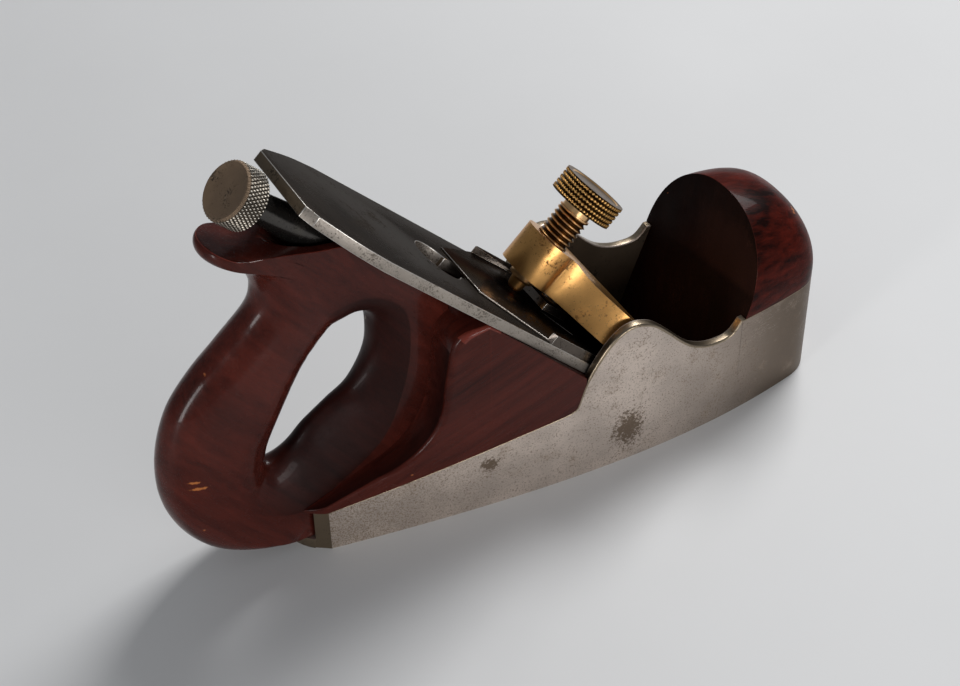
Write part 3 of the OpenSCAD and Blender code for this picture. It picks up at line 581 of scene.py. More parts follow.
def metal(name, base, speck, stain, rough, speck_scale, amount, crest=None, groove=None, cover=0.56,
          density=0.35, pit_depth=0.03, grind=None, turn=(0, 0, 0), metallic=1.0, graze=None,
          spots=(), toe=None, heel=None):
    """Bare metal: fine dark specks, broad stains and scratches. Crest and groove colour a cut surface by its
    hollow attribute; toe darkens the toe end with tarnish and painted shade, and heel tones the heel end."""
    material, shader, straight = new_material(name, Metallic=metallic)
    if graze is not None:
        shader.inputs["Specular Tint"].default_value = (*graze, 1)
    vector = turned_about(straight, turn)
    pitting = place_group("Pitting", Vector=vector, Scale=speck_scale, Amount=amount, Cover=cover)
    scratches = place_group("Scratches", Vector=vector, Along=(0.04, 1.2, 1.2), Density=density)
    colour = mix_colour(ramp(noise(vector, 0.05, 5, 0.6), 0.35, 0.68), base, shaded(base, 0.78))
    along_body = join("ShaderNodeSeparateXYZ", {0: straight})["X"]
    if toe is not None:
        # Darker and browner towards the toe: tarnish, and painted shade where the plate turns from the light
        start, end, tone = toe
        colour = mix_colour(ramp(along_body, start, end), colour, tone)
    if heel is not None:
        start, end, tone = heel
        grains = ramp(noise(vector, 1.9, 4, 0.7), 0.47, 0.62)
        colour = mix_colour(times(ramp(along_body, start, end), grains), colour, tone)
    colour = mix_colour(times(pitting["Stain"], 0.5), colour, stain)
    colour = mix_colour(times(pitting["Specks"], 0.85), colour, speck)
    colour = mix_colour(scratches["Mask"], colour, shaded(base, 1.4))
    colour = marked_by(colour, straight, spots, (0.17, 0.125, 0.09))
    if groove is not None:
        deep = hollow_at(vector)
        broken = times(centred(vector, 0.8), 0.5)
        proud = minus(1.0, ramp(plus(deep, broken), 0.02, 0.3))
        colour = mix_colour(times(proud, 0.5), colour, crest)
        colour = mix_colour(times(ramp(deep, 0.15, 0.65), 0.95), colour, groove)
    put(shader.inputs["Base Color"], colour)
    rough = plus(rough, times(pitting["Specks"], 0.25))
    put(shader.inputs["Roughness"], plus(rough, times(pitting["Stain"], 0.12)))
    first = bump_into(shader, pitting["Height"], pit_depth)
    if grind is not None:
        lines = noise(stretched(vector, grind), 1.0, 2, 0.6)
        first = bump_into(shader, lines, 0.012, 0.8, first)
    bump_into(shader, noise(vector, 0.25, 3), 0.08, 0.5, first)
    return material


# Dents and stains that stand out: centre and half sizes in mm, and how ragged they are

HANDLE_DENTS = [((-41.3, -11, 48.6), (3.2, 5, 0.7), 0.5), ((-42.6, -11, 51.5), (2.2, 5, 0.6), 0.5),
                ((-36.5, -9.5, 93), (1.2, 3, 1.3), 0.6), ((-50, -6, 79), (0.8, 3, 1.6), 0.5)]
DOME_DENTS = [((190, -12, 66), (2.2, 2, 1), 0.7), ((186, -8, 69), (1.6, 1.6, 0.8), 0.7)]
PLATE_STAINS = [((110, -32.1, 15.3), (6.5, 3, 9.5), 1.0), ((57, -26.4, 20.2), (4, 3, 3.4), 0.9)]

GRIP_TURN = (0, math.radians(-52), 0.15)
IRON_TURN = (0, BED, 0)
IRON_GRAZE = (0.22, 0.21, 0.2)

# Materials by name, filled by the finishes operator
finishes = {}


def wood_finishes(dark, light):
    """Rosewood of the handle, the rear infill and the dome; a turn lays the grain along the piece."""
    red = (light[0] * 1.05, light[1] * 0.66, light[2] * 0.55)
    return {
        "handle": rosewood("Rosewood, handle", dark, light, GRIP_TURN, 0.8, spots=HANDLE_DENTS),
        "infill": rosewood("Rosewood, rear infill", shaded(dark, 0.8), shaded(light, 0.85), (0, 0.45, 0.1),
                           0.9, polish=0.08),
        # Rubbed arrises: a lighter copy of the wood, for wear and a painted highlight
        "rubbed wood, painted highlight": rosewood("Rosewood, rubbed arris, painted highlight", shaded(dark, 3), shaded(light, 2.4),
                                (0, 0.3, 0.1), polish=0.3),
        "dome": rosewood("Rosewood, front infill", shaded(dark, 0.35), red, (0.1, 0.08, 0.25), 1.25, 0.11,
                         DOME_DENTS, polish=0.05, dull=0.12),
        # The dome's rear face: end grain, darkened further by painted shade
        "end grain in painted shade": rosewood("Rosewood, end grain in painted shade", (0.004, 0.0016, 0.0012), (0.013, 0.0045, 0.003),
                              (0.4, 0.9, 0), 0.7, polish=0.0, dull=0.35),
    }


def metal_finishes(steel, iron, gold, rust):
    """Steel, iron and gunmetal: each row has base, speck and stain colours, roughness, the scale of the
    specks, how far the stains gather them, and for a cut surface its crest and groove colours."""
    return {
        "steel": metal("Steel, body", steel, (0.22, 0.165, 0.125), (0.36, 0.29, 0.23), 0.40, 1.5, 0.14,
                       cover=0.51, metallic=0.85, grind=(0.06, 1.4, 5.0), spots=PLATE_STAINS,
                       toe=(115, 185, (0.13, 0.097, 0.07)), heel=(95, -10, (0.24, 0.17, 0.11))),
        "steel edge": metal("Steel, rubbed edge", (0.33, 0.265, 0.19), (0.09, 0.065, 0.04),
                            (0.22, 0.165, 0.11), 0.30, 1.6, 0.8),
        "steel inside": metal("Steel, inside", (0.085, 0.062, 0.042), (0.016, 0.011, 0.008),
                              (0.10, 0.07, 0.045), 0.5, 0.8, 0.9, metallic=0.7),
        "sole": metal("Steel, sole", steel, (0.12, 0.09, 0.07), (0.28, 0.24, 0.2), 0.32, 1.1, 0.4,
                      grind=(0.05, 4.0, 1.0)),
        "iron": metal("Iron, dark", iron, (0.03, 0.024, 0.02), (0.05, 0.04, 0.032), 0.36, 1.1, 0.6,
                      grind=(0.4, 2.6, 0.4), turn=IRON_TURN, graze=IRON_GRAZE, metallic=0.9),
        "iron edge": metal("Iron, rubbed edge", (0.55, 0.52, 0.48), (0.12, 0.09, 0.07), (0.3, 0.25, 0.2),
                           0.30, 1.2, 0.7),
        "iron side": metal("Iron, side", (0.34, 0.30, 0.26), (0.08, 0.065, 0.05), (0.22, 0.18, 0.145),
                           0.5, 1.6, 0.5, cover=0.51, metallic=0.8, turn=IRON_TURN),
        "iron end": metal("Iron, end", (0.122, 0.09, 0.058), (0.03, 0.022, 0.014), (0.2, 0.165, 0.115),
                          0.45, 0.9, 0.9, metallic=0.7),
        "cap": metal("Cap iron, polished dark", shaded(iron, 1.5), (0.025, 0.02, 0.017), (0.06, 0.05, 0.04),
                     0.24, 0.6, 0.4, turn=IRON_TURN, graze=IRON_GRAZE),
        "gold": metal("Gunmetal", gold, (0.07, 0.035, 0.015), (0.34, 0.15, 0.04), 0.30, 1.0, 0.5,
                      density=0.5),
        "gold edge": metal("Gunmetal, rubbed edge", (0.90, 0.60, 0.38), (0.2, 0.11, 0.05),
                           (0.55, 0.32, 0.14), 0.28, 0.9, 0.4),
        "thread": metal("Gunmetal, thread", gold, (0.10, 0.05, 0.02), (0.36, 0.16, 0.05), 0.28, 1.2, 0.5,
                        (0.95, 0.66, 0.36), (0.045, 0.018, 0.005)),
        "head": metal("Gunmetal, beaded head", (0.50, 0.26, 0.07), (0.05, 0.035, 0.012),
                      (0.16, 0.10, 0.03), 0.28, 1.3, 0.7, (0.95, 0.56, 0.20), (0.02, 0.012, 0.004)),
        # The head's flat top: dulled, and darkened by painted shade
        "head top in painted shade": metal("Gunmetal, dulled top in painted shade", (0.13, 0.08, 0.04), (0.04, 0.025, 0.012),
                          (0.2, 0.12, 0.05), 0.42, 0.9, 0.9, metallic=0.8),
        "black": metal("Steel, blackened", (0.07, 0.065, 0.06), (0.03, 0.028, 0.025), (0.09, 0.08, 0.065),
                       0.2, 0.8, 0.3, density=0.5, metallic=0.9),
        "knob": metal("Steel, knurled", (0.42, 0.38, 0.32), (0.08, 0.06, 0.045), (0.2, 0.16, 0.12), 0.30,
                      1.2, 0.6, (0.78, 0.73, 0.64), (0.06, 0.047, 0.035)),
        "rusty": metal("Steel, rusted face", rust, (0.03, 0.02, 0.013), (0.30, 0.23, 0.17), 0.55, 1.5, 1.0,
                       pit_depth=0.12, metallic=0.6),
        "bright": metal("Steel, bright", (0.5, 0.47, 0.43), (0.12, 0.09, 0.07), (0.3, 0.25, 0.2), 0.28,
                        1.0, 0.5),
        "screw": metal("Steel, wood screws", (0.26, 0.23, 0.2), (0.06, 0.04, 0.03), (0.2, 0.13, 0.08),
                       0.40, 1.4, 0.7),
    }


# Shapes of the wood


HANDLE_ROWS = [
    # outer point, corner where the rounding leaves the flat side (or how wide it is), a point on the
    # flat side, hole point, width of the rounding at the hole, and how crisp the two roundings start
    ((52, 4.5), 0.6, (36, 24), (10, 53), 22, 1, 1.8),
    ((52, 34), 0.6, (42, 44), (18.5, 57.5), 15, 1, 1.8),
    ((52, 66), 0.6, (44, 67), (25.5, 69), 11, 1, 1.8),
    ((52, None), 0.6, (44, 88), (26.8, 83), 10.8, 1, 1.4),
    ((36, None), 0.6, (32, 104), (24.5, 89.5), 10.5, 1, 1),
    ((23, None), 0.6, (19, 114), (20.5, 91.3), 11.4, 1, 1),
    ((7, 128.3), 0.6, (4, 122), (16.5, 90.8), 12.2, 1, 1),
    ((-6, 131.7), 0.6, (2.4, 124.6), (14, 90), 12.3, 1, 1.1),
    ((-14.3, 133.6), (-14.2, 133.2), (2, 123.9), (12.8, 89.4), 12.5, 1, 1.2),
    ((-20, 135.9), (-15.4, 133.6), (1.9, 123.3), (11.8, 88.7), 12.8, 1.1, 1.2),
    ((-25, 138.3), (-16.4, 133.9), (1.8, 122.8), (11, 88.1), 13, 1.1, 1.2),
    ((-26.6, 136.1), (-16.3, 131.9), (1.6, 122.2), (10.3, 87.4), 13.2, 1.1, 1.2),
    ((-25.3, 133), (-15.4, 129.6), (1.4, 121.4), (9.5, 86.6), 13.4, 1.2, 1.2),
    ((-19.6, 129.4), (-10.8, 126.9), (1.4, 119.8), (8.7, 85.8), 13.6, 1.3, 1.2),
    ((-15, 124.8), (-5.2, 123.3), (1.5, 117.4), (8, 85.1), 13.8, 1.5, 1.2),
    ((-12.2, 119.8), (-2, 118.6), (1.7, 113.4), (7.1, 84.2), 14, 1.5, 1.2),
    ((-11.2, 113), (-0.4, 110.8), (1.6, 106), (5.3, 82.2), 14, 1.5, 1.2),
    ((-14.3, 105), (-1.8, 101), (-0.4, 98), (1.8, 78), 14.6, 1.4, 1.2),
    ((-25, 95), 11.6, (-12.5, 86.6), (-2.6, 70), 13, 1.4, 1.2),
    ((-35.5, 86), 12.6, (-20, 76.5), (-7, 61.5), 12.4, 1.4, 1.2),
    ((-44.5, 75), 13, (-27, 67), (-10.4, 54.5), 13, 1.4, 1.2),
    ((-50, 60.5), 13, (-33, 57), (-12.8, 48.5), 15, 1.4, 1.2),
    ((-51.8, 46), 12.8, (-35, 46), (-14.2, 43.8), 14.8, 1.4, 1.2),
    ((-50.4, 33.5), 12.6, (-34.5, 37), (-15, 40.6), 14, 1.4, 1.2),
    ((-46.2, 22), 11.8, (-32.5, 28.5), (-15, 38.2), 14, 1.3, 1.3),
    ((-39.5, 12.5), 10.4, (-26.5, 21.5), (-13.4, 37.4), 15, 1.2, 1.4),
    ((-31, 7), 8, (-19, 16.5), (-10.8, 37.8), 17.4, 1.1, 1.6),
    ((-21, 4.5), 4.6, (-11.5, 13.5), (-7.6, 39.6), 21, 1, 1.8),
    ((-10, 4.5), 0.6, (-2.5, 14), (-4, 42.2), 23.5, 1, 1.8),
    ((14, 4.5), 0.6, (10, 16), (1.5, 47.5), 23.5, 1, 1.8),
]

# Row of the horn's rim, and the rows that the outer outline leaves on a straight line
RIM_ROW = 10
STRAIGHT_ROWS = (0, 1, 2, 3, 4, RIM_ROW - 2, RIM_ROW - 1, 28, 29)

# Rows between which the wall of the hole turns from dull and darkened by painted shade to polished and back
DULL_SHADED_ROWS, DULL_SHADED_SHARES = (5, 9.5, 23.5, 28), (1, 0, 0, 1)


def unit(vector):
    return vector / np.linalg.norm(vector, axis=-1, keepdims=True)


def rounded_end(corner, tip, steps, sharpness):
    """Quarter round from a flat side to the middle plane: the point moves from corner to tip as a power
    of the angle's sine while the width falls as its cosine. The power makes the corner crisper."""
    angle = np.linspace(0, math.pi / 2, steps + 1)[None, :]
    share = np.sin(angle) ** sharpness[:, None]
    where = corner[:, None] + (tip - corner)[:, None] * share[..., None]
    return where, np.cos(angle).repeat(len(tip), 0) * HANDLE_T / 2


def handle_surface(row_steps, arc_steps):
    """Closed handle: rows run round the hand hole, and each row's section goes from the outer outline
    over a rounded end, the flat side and a second rounded end at the hole, and back. Also tells which
    faces are the rubbed arris, which the lighter wood gives wear and a painted highlight, and how far
    painted shade darkens and dulls each point of the hole's wall."""
    columns = [np.array(column, float) for column in zip(*(row[2:] for row in HANDLE_ROWS))]
    flat, hole, round_in, crisp, hole_crisp = columns
    outer = np.array([(x, bed_height(x) if z is None else z) for (x, z), *_ in HANDLE_ROWS])
    corner = np.array([row[1] if isinstance(row[1], tuple) else outer[i] + unit(flat[i] - outer[i]) * row[1]
                       for i, row in enumerate(HANDLE_ROWS)])
    t = (np.arange(row_steps) / row_steps)[:, None]
    flat = (flat[:, None] * (1 - t) + np.roll(flat, -1, 0)[:, None] * t).reshape(-1, 2)
    edges = []
    for line in (outer, corner):
        curved = ring_path(line, row_steps).reshape(len(line), row_steps, 2)
        for i in STRAIGHT_ROWS:
            curved[i] = line[i] * (1 - t) + line[(i + 1) % len(line)] * t
        edges.append(curved.reshape(-1, 2))
    outer, corner = edges
    hole, round_in, crisp, hole_crisp = (ring_path(values, row_steps) for values in
                                         (hole, round_in, crisp, hole_crisp))
    out_at, half = rounded_end(corner, outer, arc_steps, crisp)
    in_at, _ = rounded_end(hole + unit(flat - hole) * round_in[:, None], hole, arc_steps, hole_crisp)
    side = np.full((len(flat), 1), HANDLE_T / 2)
    where = np.concatenate([out_at, out_at[:, -2::-1], flat[:, None],
                            in_at, in_at[:, -2::-1], flat[:, None]], 1)
    across = np.concatenate([half, -half[:, -2::-1], -side, -half, half[:, -2::-1], side], 1)
    tags = np.zeros(across.shape, int)
    rim = RIM_ROW * row_steps
    # Rubbed arris faces: the lighter wood stands for wear and a painted highlight
    tags[:rim, (0, 2 * arc_steps - 1)] = 1
    tags[:rim - 2 * row_steps, (1, 2 * arc_steps - 2)] = 1
    tags[rim, :2 * arc_steps] = 1
    wall = 2 * arc_steps + 1
    # Painted shade: the hollow attribute darkens and dulls the hole's wall, fading out along the rows
    fade = np.interp(np.arange(len(tags)) / row_steps, DULL_SHADED_ROWS, DULL_SHADED_SHARES)
    hollow = np.zeros(across.shape)
    hollow[:, wall + 1:wall + 2 * arc_steps] = fade[:, None]
    hollow[:, (wall + 1, wall + 2 * arc_steps - 1)] *= 0.5
    return np.stack([where[..., 0], across, where[..., 1]], -1), tags, hollow


def corners(x_low, y_low, x_high, y_high):
    return [[x_low, y_low], [x_high, y_low], [x_high, y_high], [x_low, y_high]]


def adjuster_hollows():
    """Cutters for the channel of the barrel, the pocket of the base plate and the cup ring's bed."""
    r, ring_r, clear = 8.2, 11.2, 40
    arc = np.radians(np.linspace(180, 360, 25))
    trench = np.concatenate([np.stack([r * np.cos(arc), BARREL_AXIS_D + r * np.sin(arc)], 1),
                             [[r, clear], [-r, clear]]])
    ring = np.radians(np.linspace(-90, 90, 25))
    oval = np.concatenate([np.stack([78 + ring_r * np.cos(ring), ring_r * np.sin(ring)], 1),
                           np.stack([70 - ring_r * np.cos(ring), -ring_r * np.sin(ring)], 1)])
    return [
        prism("cut1", trench, 155, 245, lambda a, b, c: bed_point(c, a, b)),
        prism("cut2", corners(134, -8.5, 166, 8.5), -20.8, clear, bed_point),
        prism("cut3", corners(74, -4.8, 150, 4.8), -16.6, clear, bed_point),
        prism("cut4", oval, -16.6, 24, bed_point),
    ]


def box_cutter(low, high):
    """A box between two corners."""
    return prism("box", corners(*low[:2], *high[:2]), low[2], high[2], plain_place)


def outline_normal(path):
    """Unit normals of an x-z path that runs to the toe, on its upper side."""
    tangent = unit(np.gradient(path, axis=0))
    return np.stack([-tangent[:, 1], tangent[:, 0]], 1)


# Round of the rear infill behind the handle, and the heights over which its arris is rubbed and
# given a painted highlight, and under which its top is dull and darkened by painted shade
SWEEP_CENTRE, SWEEP_R = np.array([12, 58]), 30.5
RUBBED_HIGHLIT_ABOVE, DULL_SHADED_BELOW = 81.5, 76


def rear_infill_surface(steps):
    """Wood behind the iron: the side outline carried across the plan. Each section goes up inside the
    side plate, steps out over its top, and rounds into the top face by a quarter circle whose radius
    fades towards the bed."""
    sweep_angle = np.radians(np.linspace(-78, 0, 44))
    sweep = SWEEP_CENTRE + SWEEP_R * np.stack([np.cos(sweep_angle), np.sin(sweep_angle)], 1)
    corner = smooth_path([[44.5, 71], [45.4, 76.5], [47.2, 80.6], [51, 83.4],
                          [58, bed_height(58) - 0.6]], 9)
    heel_x = np.linspace(-6.66, 0.5, 12)
    heel = np.stack([heel_x, np.interp(heel_x, [-HEEL_R, 0.5], [HEEL_H - 2.8, HEEL_H + 3.4])], 1)
    rise = np.stack([np.linspace(0.5, sweep[0, 0], 14)[1:-1], np.linspace(21.4, sweep[0, 1], 14)[1:-1]], 1)
    wall_z = np.linspace(sweep[-1, 1], 71, 8)[1:-1]
    wall = np.stack([np.interp(wall_z, [sweep[-1, 1], 71], [sweep[-1, 0], 44.5]), wall_z], 1)
    bed_x = np.linspace(59, bed_reach(SOLE_T) - 0.3, 90)
    bed = np.stack([bed_x, bed_height(bed_x)], 1)
    path = np.concatenate([heel, rise, sweep, wall, corner, bed])
    normal = outline_normal(path)
    radius = np.interp(path[:, 0], [-6, 2, 18, 42, 47, 56, 64, 130],
                       [0.2, 0.6, 1.4, 2.2, 2.4, 1.4, 0.5, 0.4])
    turn = np.linspace(0, math.pi / 2, steps + 1)
    where = path[:, None] - normal[:, None] * (radius[:, None] * (1 - np.sin(turn)))[..., None]
    width = plan_half(where[..., 0]) - radius[:, None] * (1 - np.cos(turn))
    x = np.maximum.accumulate(where[:, 0, 0]) + np.arange(len(path)) * 1e-4
    hidden = path[:, 1] < side_height(x) + 0.3
    plate_top = np.minimum(side_height(x), where[:, 0, 1] - 0.01)
    inner = plan_half(x) - SIDE_T - WOOD_FIT
    width = np.where(hidden[:, None], np.minimum(width, inner[:, None]), width)
    ledge = np.where(hidden, inner, plan_half(x))
    low = np.stack([x, inner, np.full(len(path), SOLE_T)], 1)[:, None]
    step_in = np.stack([x, inner, plate_top], 1)[:, None]
    step_out = np.stack([x, ledge, plate_top], 1)[:, None]
    top = np.stack([where[..., 0], width, where[..., 1]], -1)
    half = np.concatenate([low, step_in, step_out, top], 1)
    tags = np.zeros(half.shape[:2], int)
    # Rubbed arris above this height: wear and a painted highlight
    tags[:, 3:-1] = (path[:, 1] > RUBBED_HIGHLIT_ABOVE)[:, None]
    tags = np.concatenate([tags, np.roll(tags[:, ::-1], -1, 1)], 1)
    # Painted shade: top faces below this height get the hollow attribute, which darkens and dulls the cove
    hollow = np.zeros(half.shape[:2])
    hollow[:, -1] = path[:, 1] < DULL_SHADED_BELOW
    return (np.concatenate([half * [1, -1, 1], half[:, ::-1]], 1), tags,
            np.concatenate([hollow, hollow[:, ::-1]], 1))


def dome_surface(steps, arc_steps):
    """Front infill: each section has straight walls up to the spring and a superellipse above it whose
    height falls towards the toe; the rear ends lie on a plane that leans forward. Where a section
    stands depends on its height, so the two are worked out together in a few rounds."""
    dome_z, dome_h, fall_x, fall_power, power = CUSP_H + 1.6, 30.7, 164.0, 2.5, 2.2
    share = np.concatenate([np.linspace(0, 0.6, steps)[:-1],
                            0.6 + 0.4 * np.sin(np.linspace(0, math.pi / 2, steps))])[:, None]
    angle = np.linspace(0, math.pi / 2, arc_steps + 1)
    across, up = np.cos(angle) ** (2 / power), np.sin(angle) ** (2 / power)
    z = np.concatenate([[SOLE_T, CUSP_H, CUSP_H], dome_z + dome_h * up])[None].repeat(len(share), 0)
    for _ in range(12):
        start = MOUTH_X + z * math.tan(THROAT_LEAN)
        x = start + (TOE_X - start) * share
        u = np.clip((x - fall_x) / (TOE_X - fall_x), 0, 1)
        height = dome_h * (1 - u**fall_power) ** (1 / fall_power)
        top = side_height(x[:, 1:3]) + 0.02
        z = np.concatenate([np.full((len(share), 1), SOLE_T), top, dome_z + height[:, 3:] * up], 1)
    y = plan_half(x)
    y[:, 3:] *= across
    inset = np.where(plan_half(x[:, :2]) > TOE_GAP, SIDE_T + WOOD_FIT, 0)
    inner_x, inner_y = plan_point(x[:, :2], inset)
    x[:, :2] = np.maximum(inner_x, start[:, :2])
    y[:, :2] = -inner_y
    half = np.stack([x, y, z], -1)
    return np.concatenate([half * [1, -1, 1], half[:, -2::-1]], 1)


# Shapes of the metal


def side_surface(side, bevel):
    """Side plate at the right (-1) or left (1): its top outline carried along the plan edge. A section
    rises on the outside, turns over a small round whose radius swells on the hump, and falls on the
    inside. The heel end follows the round of the heel, so inner points start further back. Also tells
    which faces are the rubbed round (1) and the inside (2)."""
    stations = np.concatenate([np.linspace(0, 85, 60)[:-1], HUMP[:, 0],
                               np.linspace(CUSP_X + 1, TOE_START, 20),
                               TOE_START + (TOE_X - TOE_START) * np.sin(np.linspace(0.04, 1.138, 34))])
    path = np.stack([stations, side_height(stations)], 1)
    normal = outline_normal(path)
    round_out = np.interp(stations, [0, 60, 88, 96, 130, 150, 157, 165],
                          [0.35, 0.35, 0.5, bevel, bevel, 0.8, 0.5, 0.35])
    round_in, inner = 0.5, SIDE_T - 0.01
    turn = np.linspace(0, math.pi / 2, 7)
    section = [(0, None), (0, round_out)]
    section += [(round_out * (1 - math.cos(a)), round_out * (1 - math.sin(a))) for a in turn[1:]]
    section += [(inner - round_in * (1 - math.sin(a)), round_in * (1 - math.cos(a))) for a in turn]
    section += [(inner, None)]
    columns = []
    for inset, drop in section:
        x, z = (path - normal * (0 if drop is None else np.reshape(drop, (-1, 1)))).T
        back = HEEL_C - np.sqrt(HEEL_R**2 - (HALF_W[0] - inset) ** 2)
        x_edge, y_edge = plan_point(np.maximum(x, 0), inset)
        fade = np.clip(1 - x / 12, 0, 1)
        columns.append(np.stack([x_edge + back * fade, side * -y_edge, z * (drop is not None)], 1))
    grid = np.stack(columns, 1)
    tags = np.zeros(grid.shape[:2], int)
    tags[:, 1:len(turn) + 1] = 1
    tags[:, -2] = 2
    return grid, tags


def sole_outline():
    """Sole between the side plates, run out to the full plan between their toe ends, round at the heel."""
    heel_a = np.arcsin((HALF_W[0] - SIDE_T) / HEEL_R)
    start = HEEL_C - HEEL_R * math.cos(heel_a)
    toe_l = TOE_X - TOE_START
    xs = np.concatenate([[start], np.linspace(1, TOE_START, 60),
                         TOE_START + toe_l * np.sin(np.linspace(0.05, 1.5, 60))])
    inner_x, inner_y = plan_point(xs, SIDE_T)
    inner_y = np.where(xs < 0, -(HALF_W[0] - SIDE_T), inner_y)
    inner_x = np.where(xs < 0, start, inner_x)
    keep = (inner_y < -TOE_GAP) | (xs < 150)
    toe = TOE_START + toe_l * np.sin(np.linspace(0.9, math.pi / 2, 60))
    toe = toe[plan_half(toe) <= TOE_GAP]
    right = np.concatenate([np.stack([inner_x, inner_y], 1)[keep], [[inner_x[keep][-1], -TOE_GAP]],
                            [[toe[0], -TOE_GAP]], np.stack([toe, -plan_half(toe)], 1)])
    left = right[::-1] * [1, -1]
    arc = np.linspace(heel_a, -heel_a, 17)[1:-1]
    heel = np.stack([HEEL_C - HEEL_R * np.cos(arc), HEEL_R * np.sin(arc)], 1)
    return np.concatenate([right, left[1:], heel])


def thread_profile():
    """Lever screw: a plain tip, the thread's outside and a neck, with enough rows to cut the thread."""
    heights = np.concatenate([[7.6, 7.6, 8.4], np.linspace(10, 36.9, 260), [37.0, HEAD_LOW, HEAD_LOW]])
    radii = np.concatenate([[0, 4.0, 4.8], np.full(260, 6.0), [5.3, 5.3, 0]])
    radii[3:6] = np.linspace(4.9, 6.0, 3)
    return np.stack([radii, heights], 1)


def head_profile():
    """Drum head of the lever screw with a shallow dish in its top."""
    rows = np.linspace(HEAD_LOW, HEAD_HIGH, 90)
    return np.concatenate([
        [[0, HEAD_LOW], [HEAD_R - 1.2, HEAD_LOW]], np.stack([np.full(90, HEAD_R), rows], 1),
        [[HEAD_R - 1.2, HEAD_HIGH], [HEAD_R - 2.2, HEAD_HIGH], [HEAD_R - 2.6, HEAD_HIGH - 0.35],
         [0, HEAD_HIGH - 0.3]]])


def barrel_profile():
    """Adjuster barrel: its bore for the spindle, a mouth, a straight length, and a taper that starts as
    a parabola and goes on straight to the knob."""
    bore, mouth, mouth_at, straight_to, bend_to, neck = 4.25, 6.4, 158, 178, 186, 4.6
    share = np.linspace(0, 1, 24)
    bend = np.stack([mouth - 0.35 * share**2, straight_to + (bend_to - straight_to) * share], 1)[1:]
    taper_r = mouth - 0.35 + (neck - mouth + 0.35) * share
    taper = np.stack([taper_r, bend_to + (KNOB_LOW - bend_to) * share], 1)[1:]
    return np.concatenate([
        [[0, 166.9], [bore, 166.9], [bore, mouth_at], [5.8, mouth_at], [6.1, mouth_at + 0.1],
         [mouth, mouth_at + 0.8], [mouth, straight_to]], bend, taper, [[0, KNOB_LOW]]])


def knob_profile():
    """Adjuster knob: a drum with a rounded rim and a shallow dish in its end."""
    rows = np.linspace(KNOB_LOW + 0.8, KNOB_HIGH - 0.8, 64)
    return np.concatenate([
        [[0, KNOB_LOW], [KNOB_R - 0.9, KNOB_LOW]], np.stack([np.full(64, KNOB_R), rows], 1),
        [[KNOB_R - 0.8, KNOB_HIGH - 0.1], [KNOB_R - 1.0, KNOB_HIGH], [KNOB_R - 1.3, KNOB_HIGH - 0.05],
         [KNOB_R - 2.2, KNOB_HIGH - 0.6], [4, KNOB_HIGH - 0.5], [0, KNOB_HIGH - 0.4]]])


def thread_rise(pitch, depth, low, high):
    """Helical V thread: the radius falls by depth along a triangle wave of height less the turn's share
    of the pitch, and fades out at both ends."""
    def rise(angle, height, radius):
        phase = (height / pitch - angle / (2 * math.pi)) % 1.0
        wave = np.abs(phase - 0.5) * 2
        fade = np.clip(height - low, 0, 1) * np.clip((high - height) / 0.8, 0, 1)
        return -depth * fade * np.clip(1.25 * wave - 0.12, 0, 1)
    return rise


def knurl_rise(count, lead, depth, low, high, r_low):
    """Diamond knurl: two families of crossing V grooves; the radius is lowest on a groove and highest
    in the middle of a diamond."""
    def rise(angle, height, radius):
        first = (count * angle / (2 * math.pi) + height / lead) % 1.0
        second = (count * angle / (2 * math.pi) - height / lead) % 1.0
        groove = np.minimum(np.minimum(first, 1 - first), np.minimum(second, 1 - second)) * 2
        inside = (height > low) & (height < high) & (radius > r_low)
        return np.where(inside, -depth * (1 - np.clip(groove * 1.5, 0, 1)), 0)
    return rise


def bead_rise(count, ridges, low, high, groove, bead, r_low):
    """Beaded head: ridges round the axis with deep V grooves between them, each ridge notched by
    count small rounded cuts on both of its flanks."""
    def rise(angle, height, radius):
        t = (height - low) / (high - low) * ridges
        phase = np.abs((t % 1.0) - 0.5) * 2
        side = np.clip((phase - 0.42) / 0.58, 0, 1)
        notch = 0.5 - 0.5 * np.cos(count * angle + math.pi * np.floor(t))
        flank = np.exp(-(((phase - 0.42) / 0.25) ** 2))
        inside = (height > low + 0.001) & (height < high - 0.001) & (radius > r_low)
        return np.where(inside, -groove * side**1.2 - bead * notch * flank, 0)
    return rise


# Lamps and camera, in metres

LAMPS = (
    # name, place, aim, width and height, watts
    ("key lamp", (0.85, 0.45, 1.15), (0.07, 0, 0.05), (0.6, 0.6), 17),
    ("front lamp", (0.15, -1.3, 0.32), (0.07, 0, 0.05), (0.9, 0.4), 7),
    ("left lamp", (-1.25, -0.5, 0.36), (0.0, 0, 0.06), (0.2, 0.6), 5.5),
)

# Camera as solved from the photograph: its lens in mm, its right, up and back axes, and its place
CAMERA_LENS = 73.458
CAMERA_AXES = ((0.866139, -0.499424, -0.019473), (0.355955, 0.589038, 0.725487),
               (-0.350855, -0.635304, 0.687961))
CAMERA_PLACE = (-0.167307, -0.427807, 0.513977)


def standing(right, up, back, place):
    """Matrix that puts an object's own axes along three directions at a place."""
    rows = [[right[i], up[i], back[i], place[i]] for i in range(3)]
    return Matrix(rows + [[0, 0, 0, 1]])


# Values that a user would change


def length(name, description, default, low, high):
    return FloatProperty(name=name, description=description, default=default, min=low, max=high,
                         unit="LENGTH")


def colour(name, description, default):
    return FloatVectorProperty(name=name, description=description, default=default, subtype="COLOR",
                               min=0, max=1)


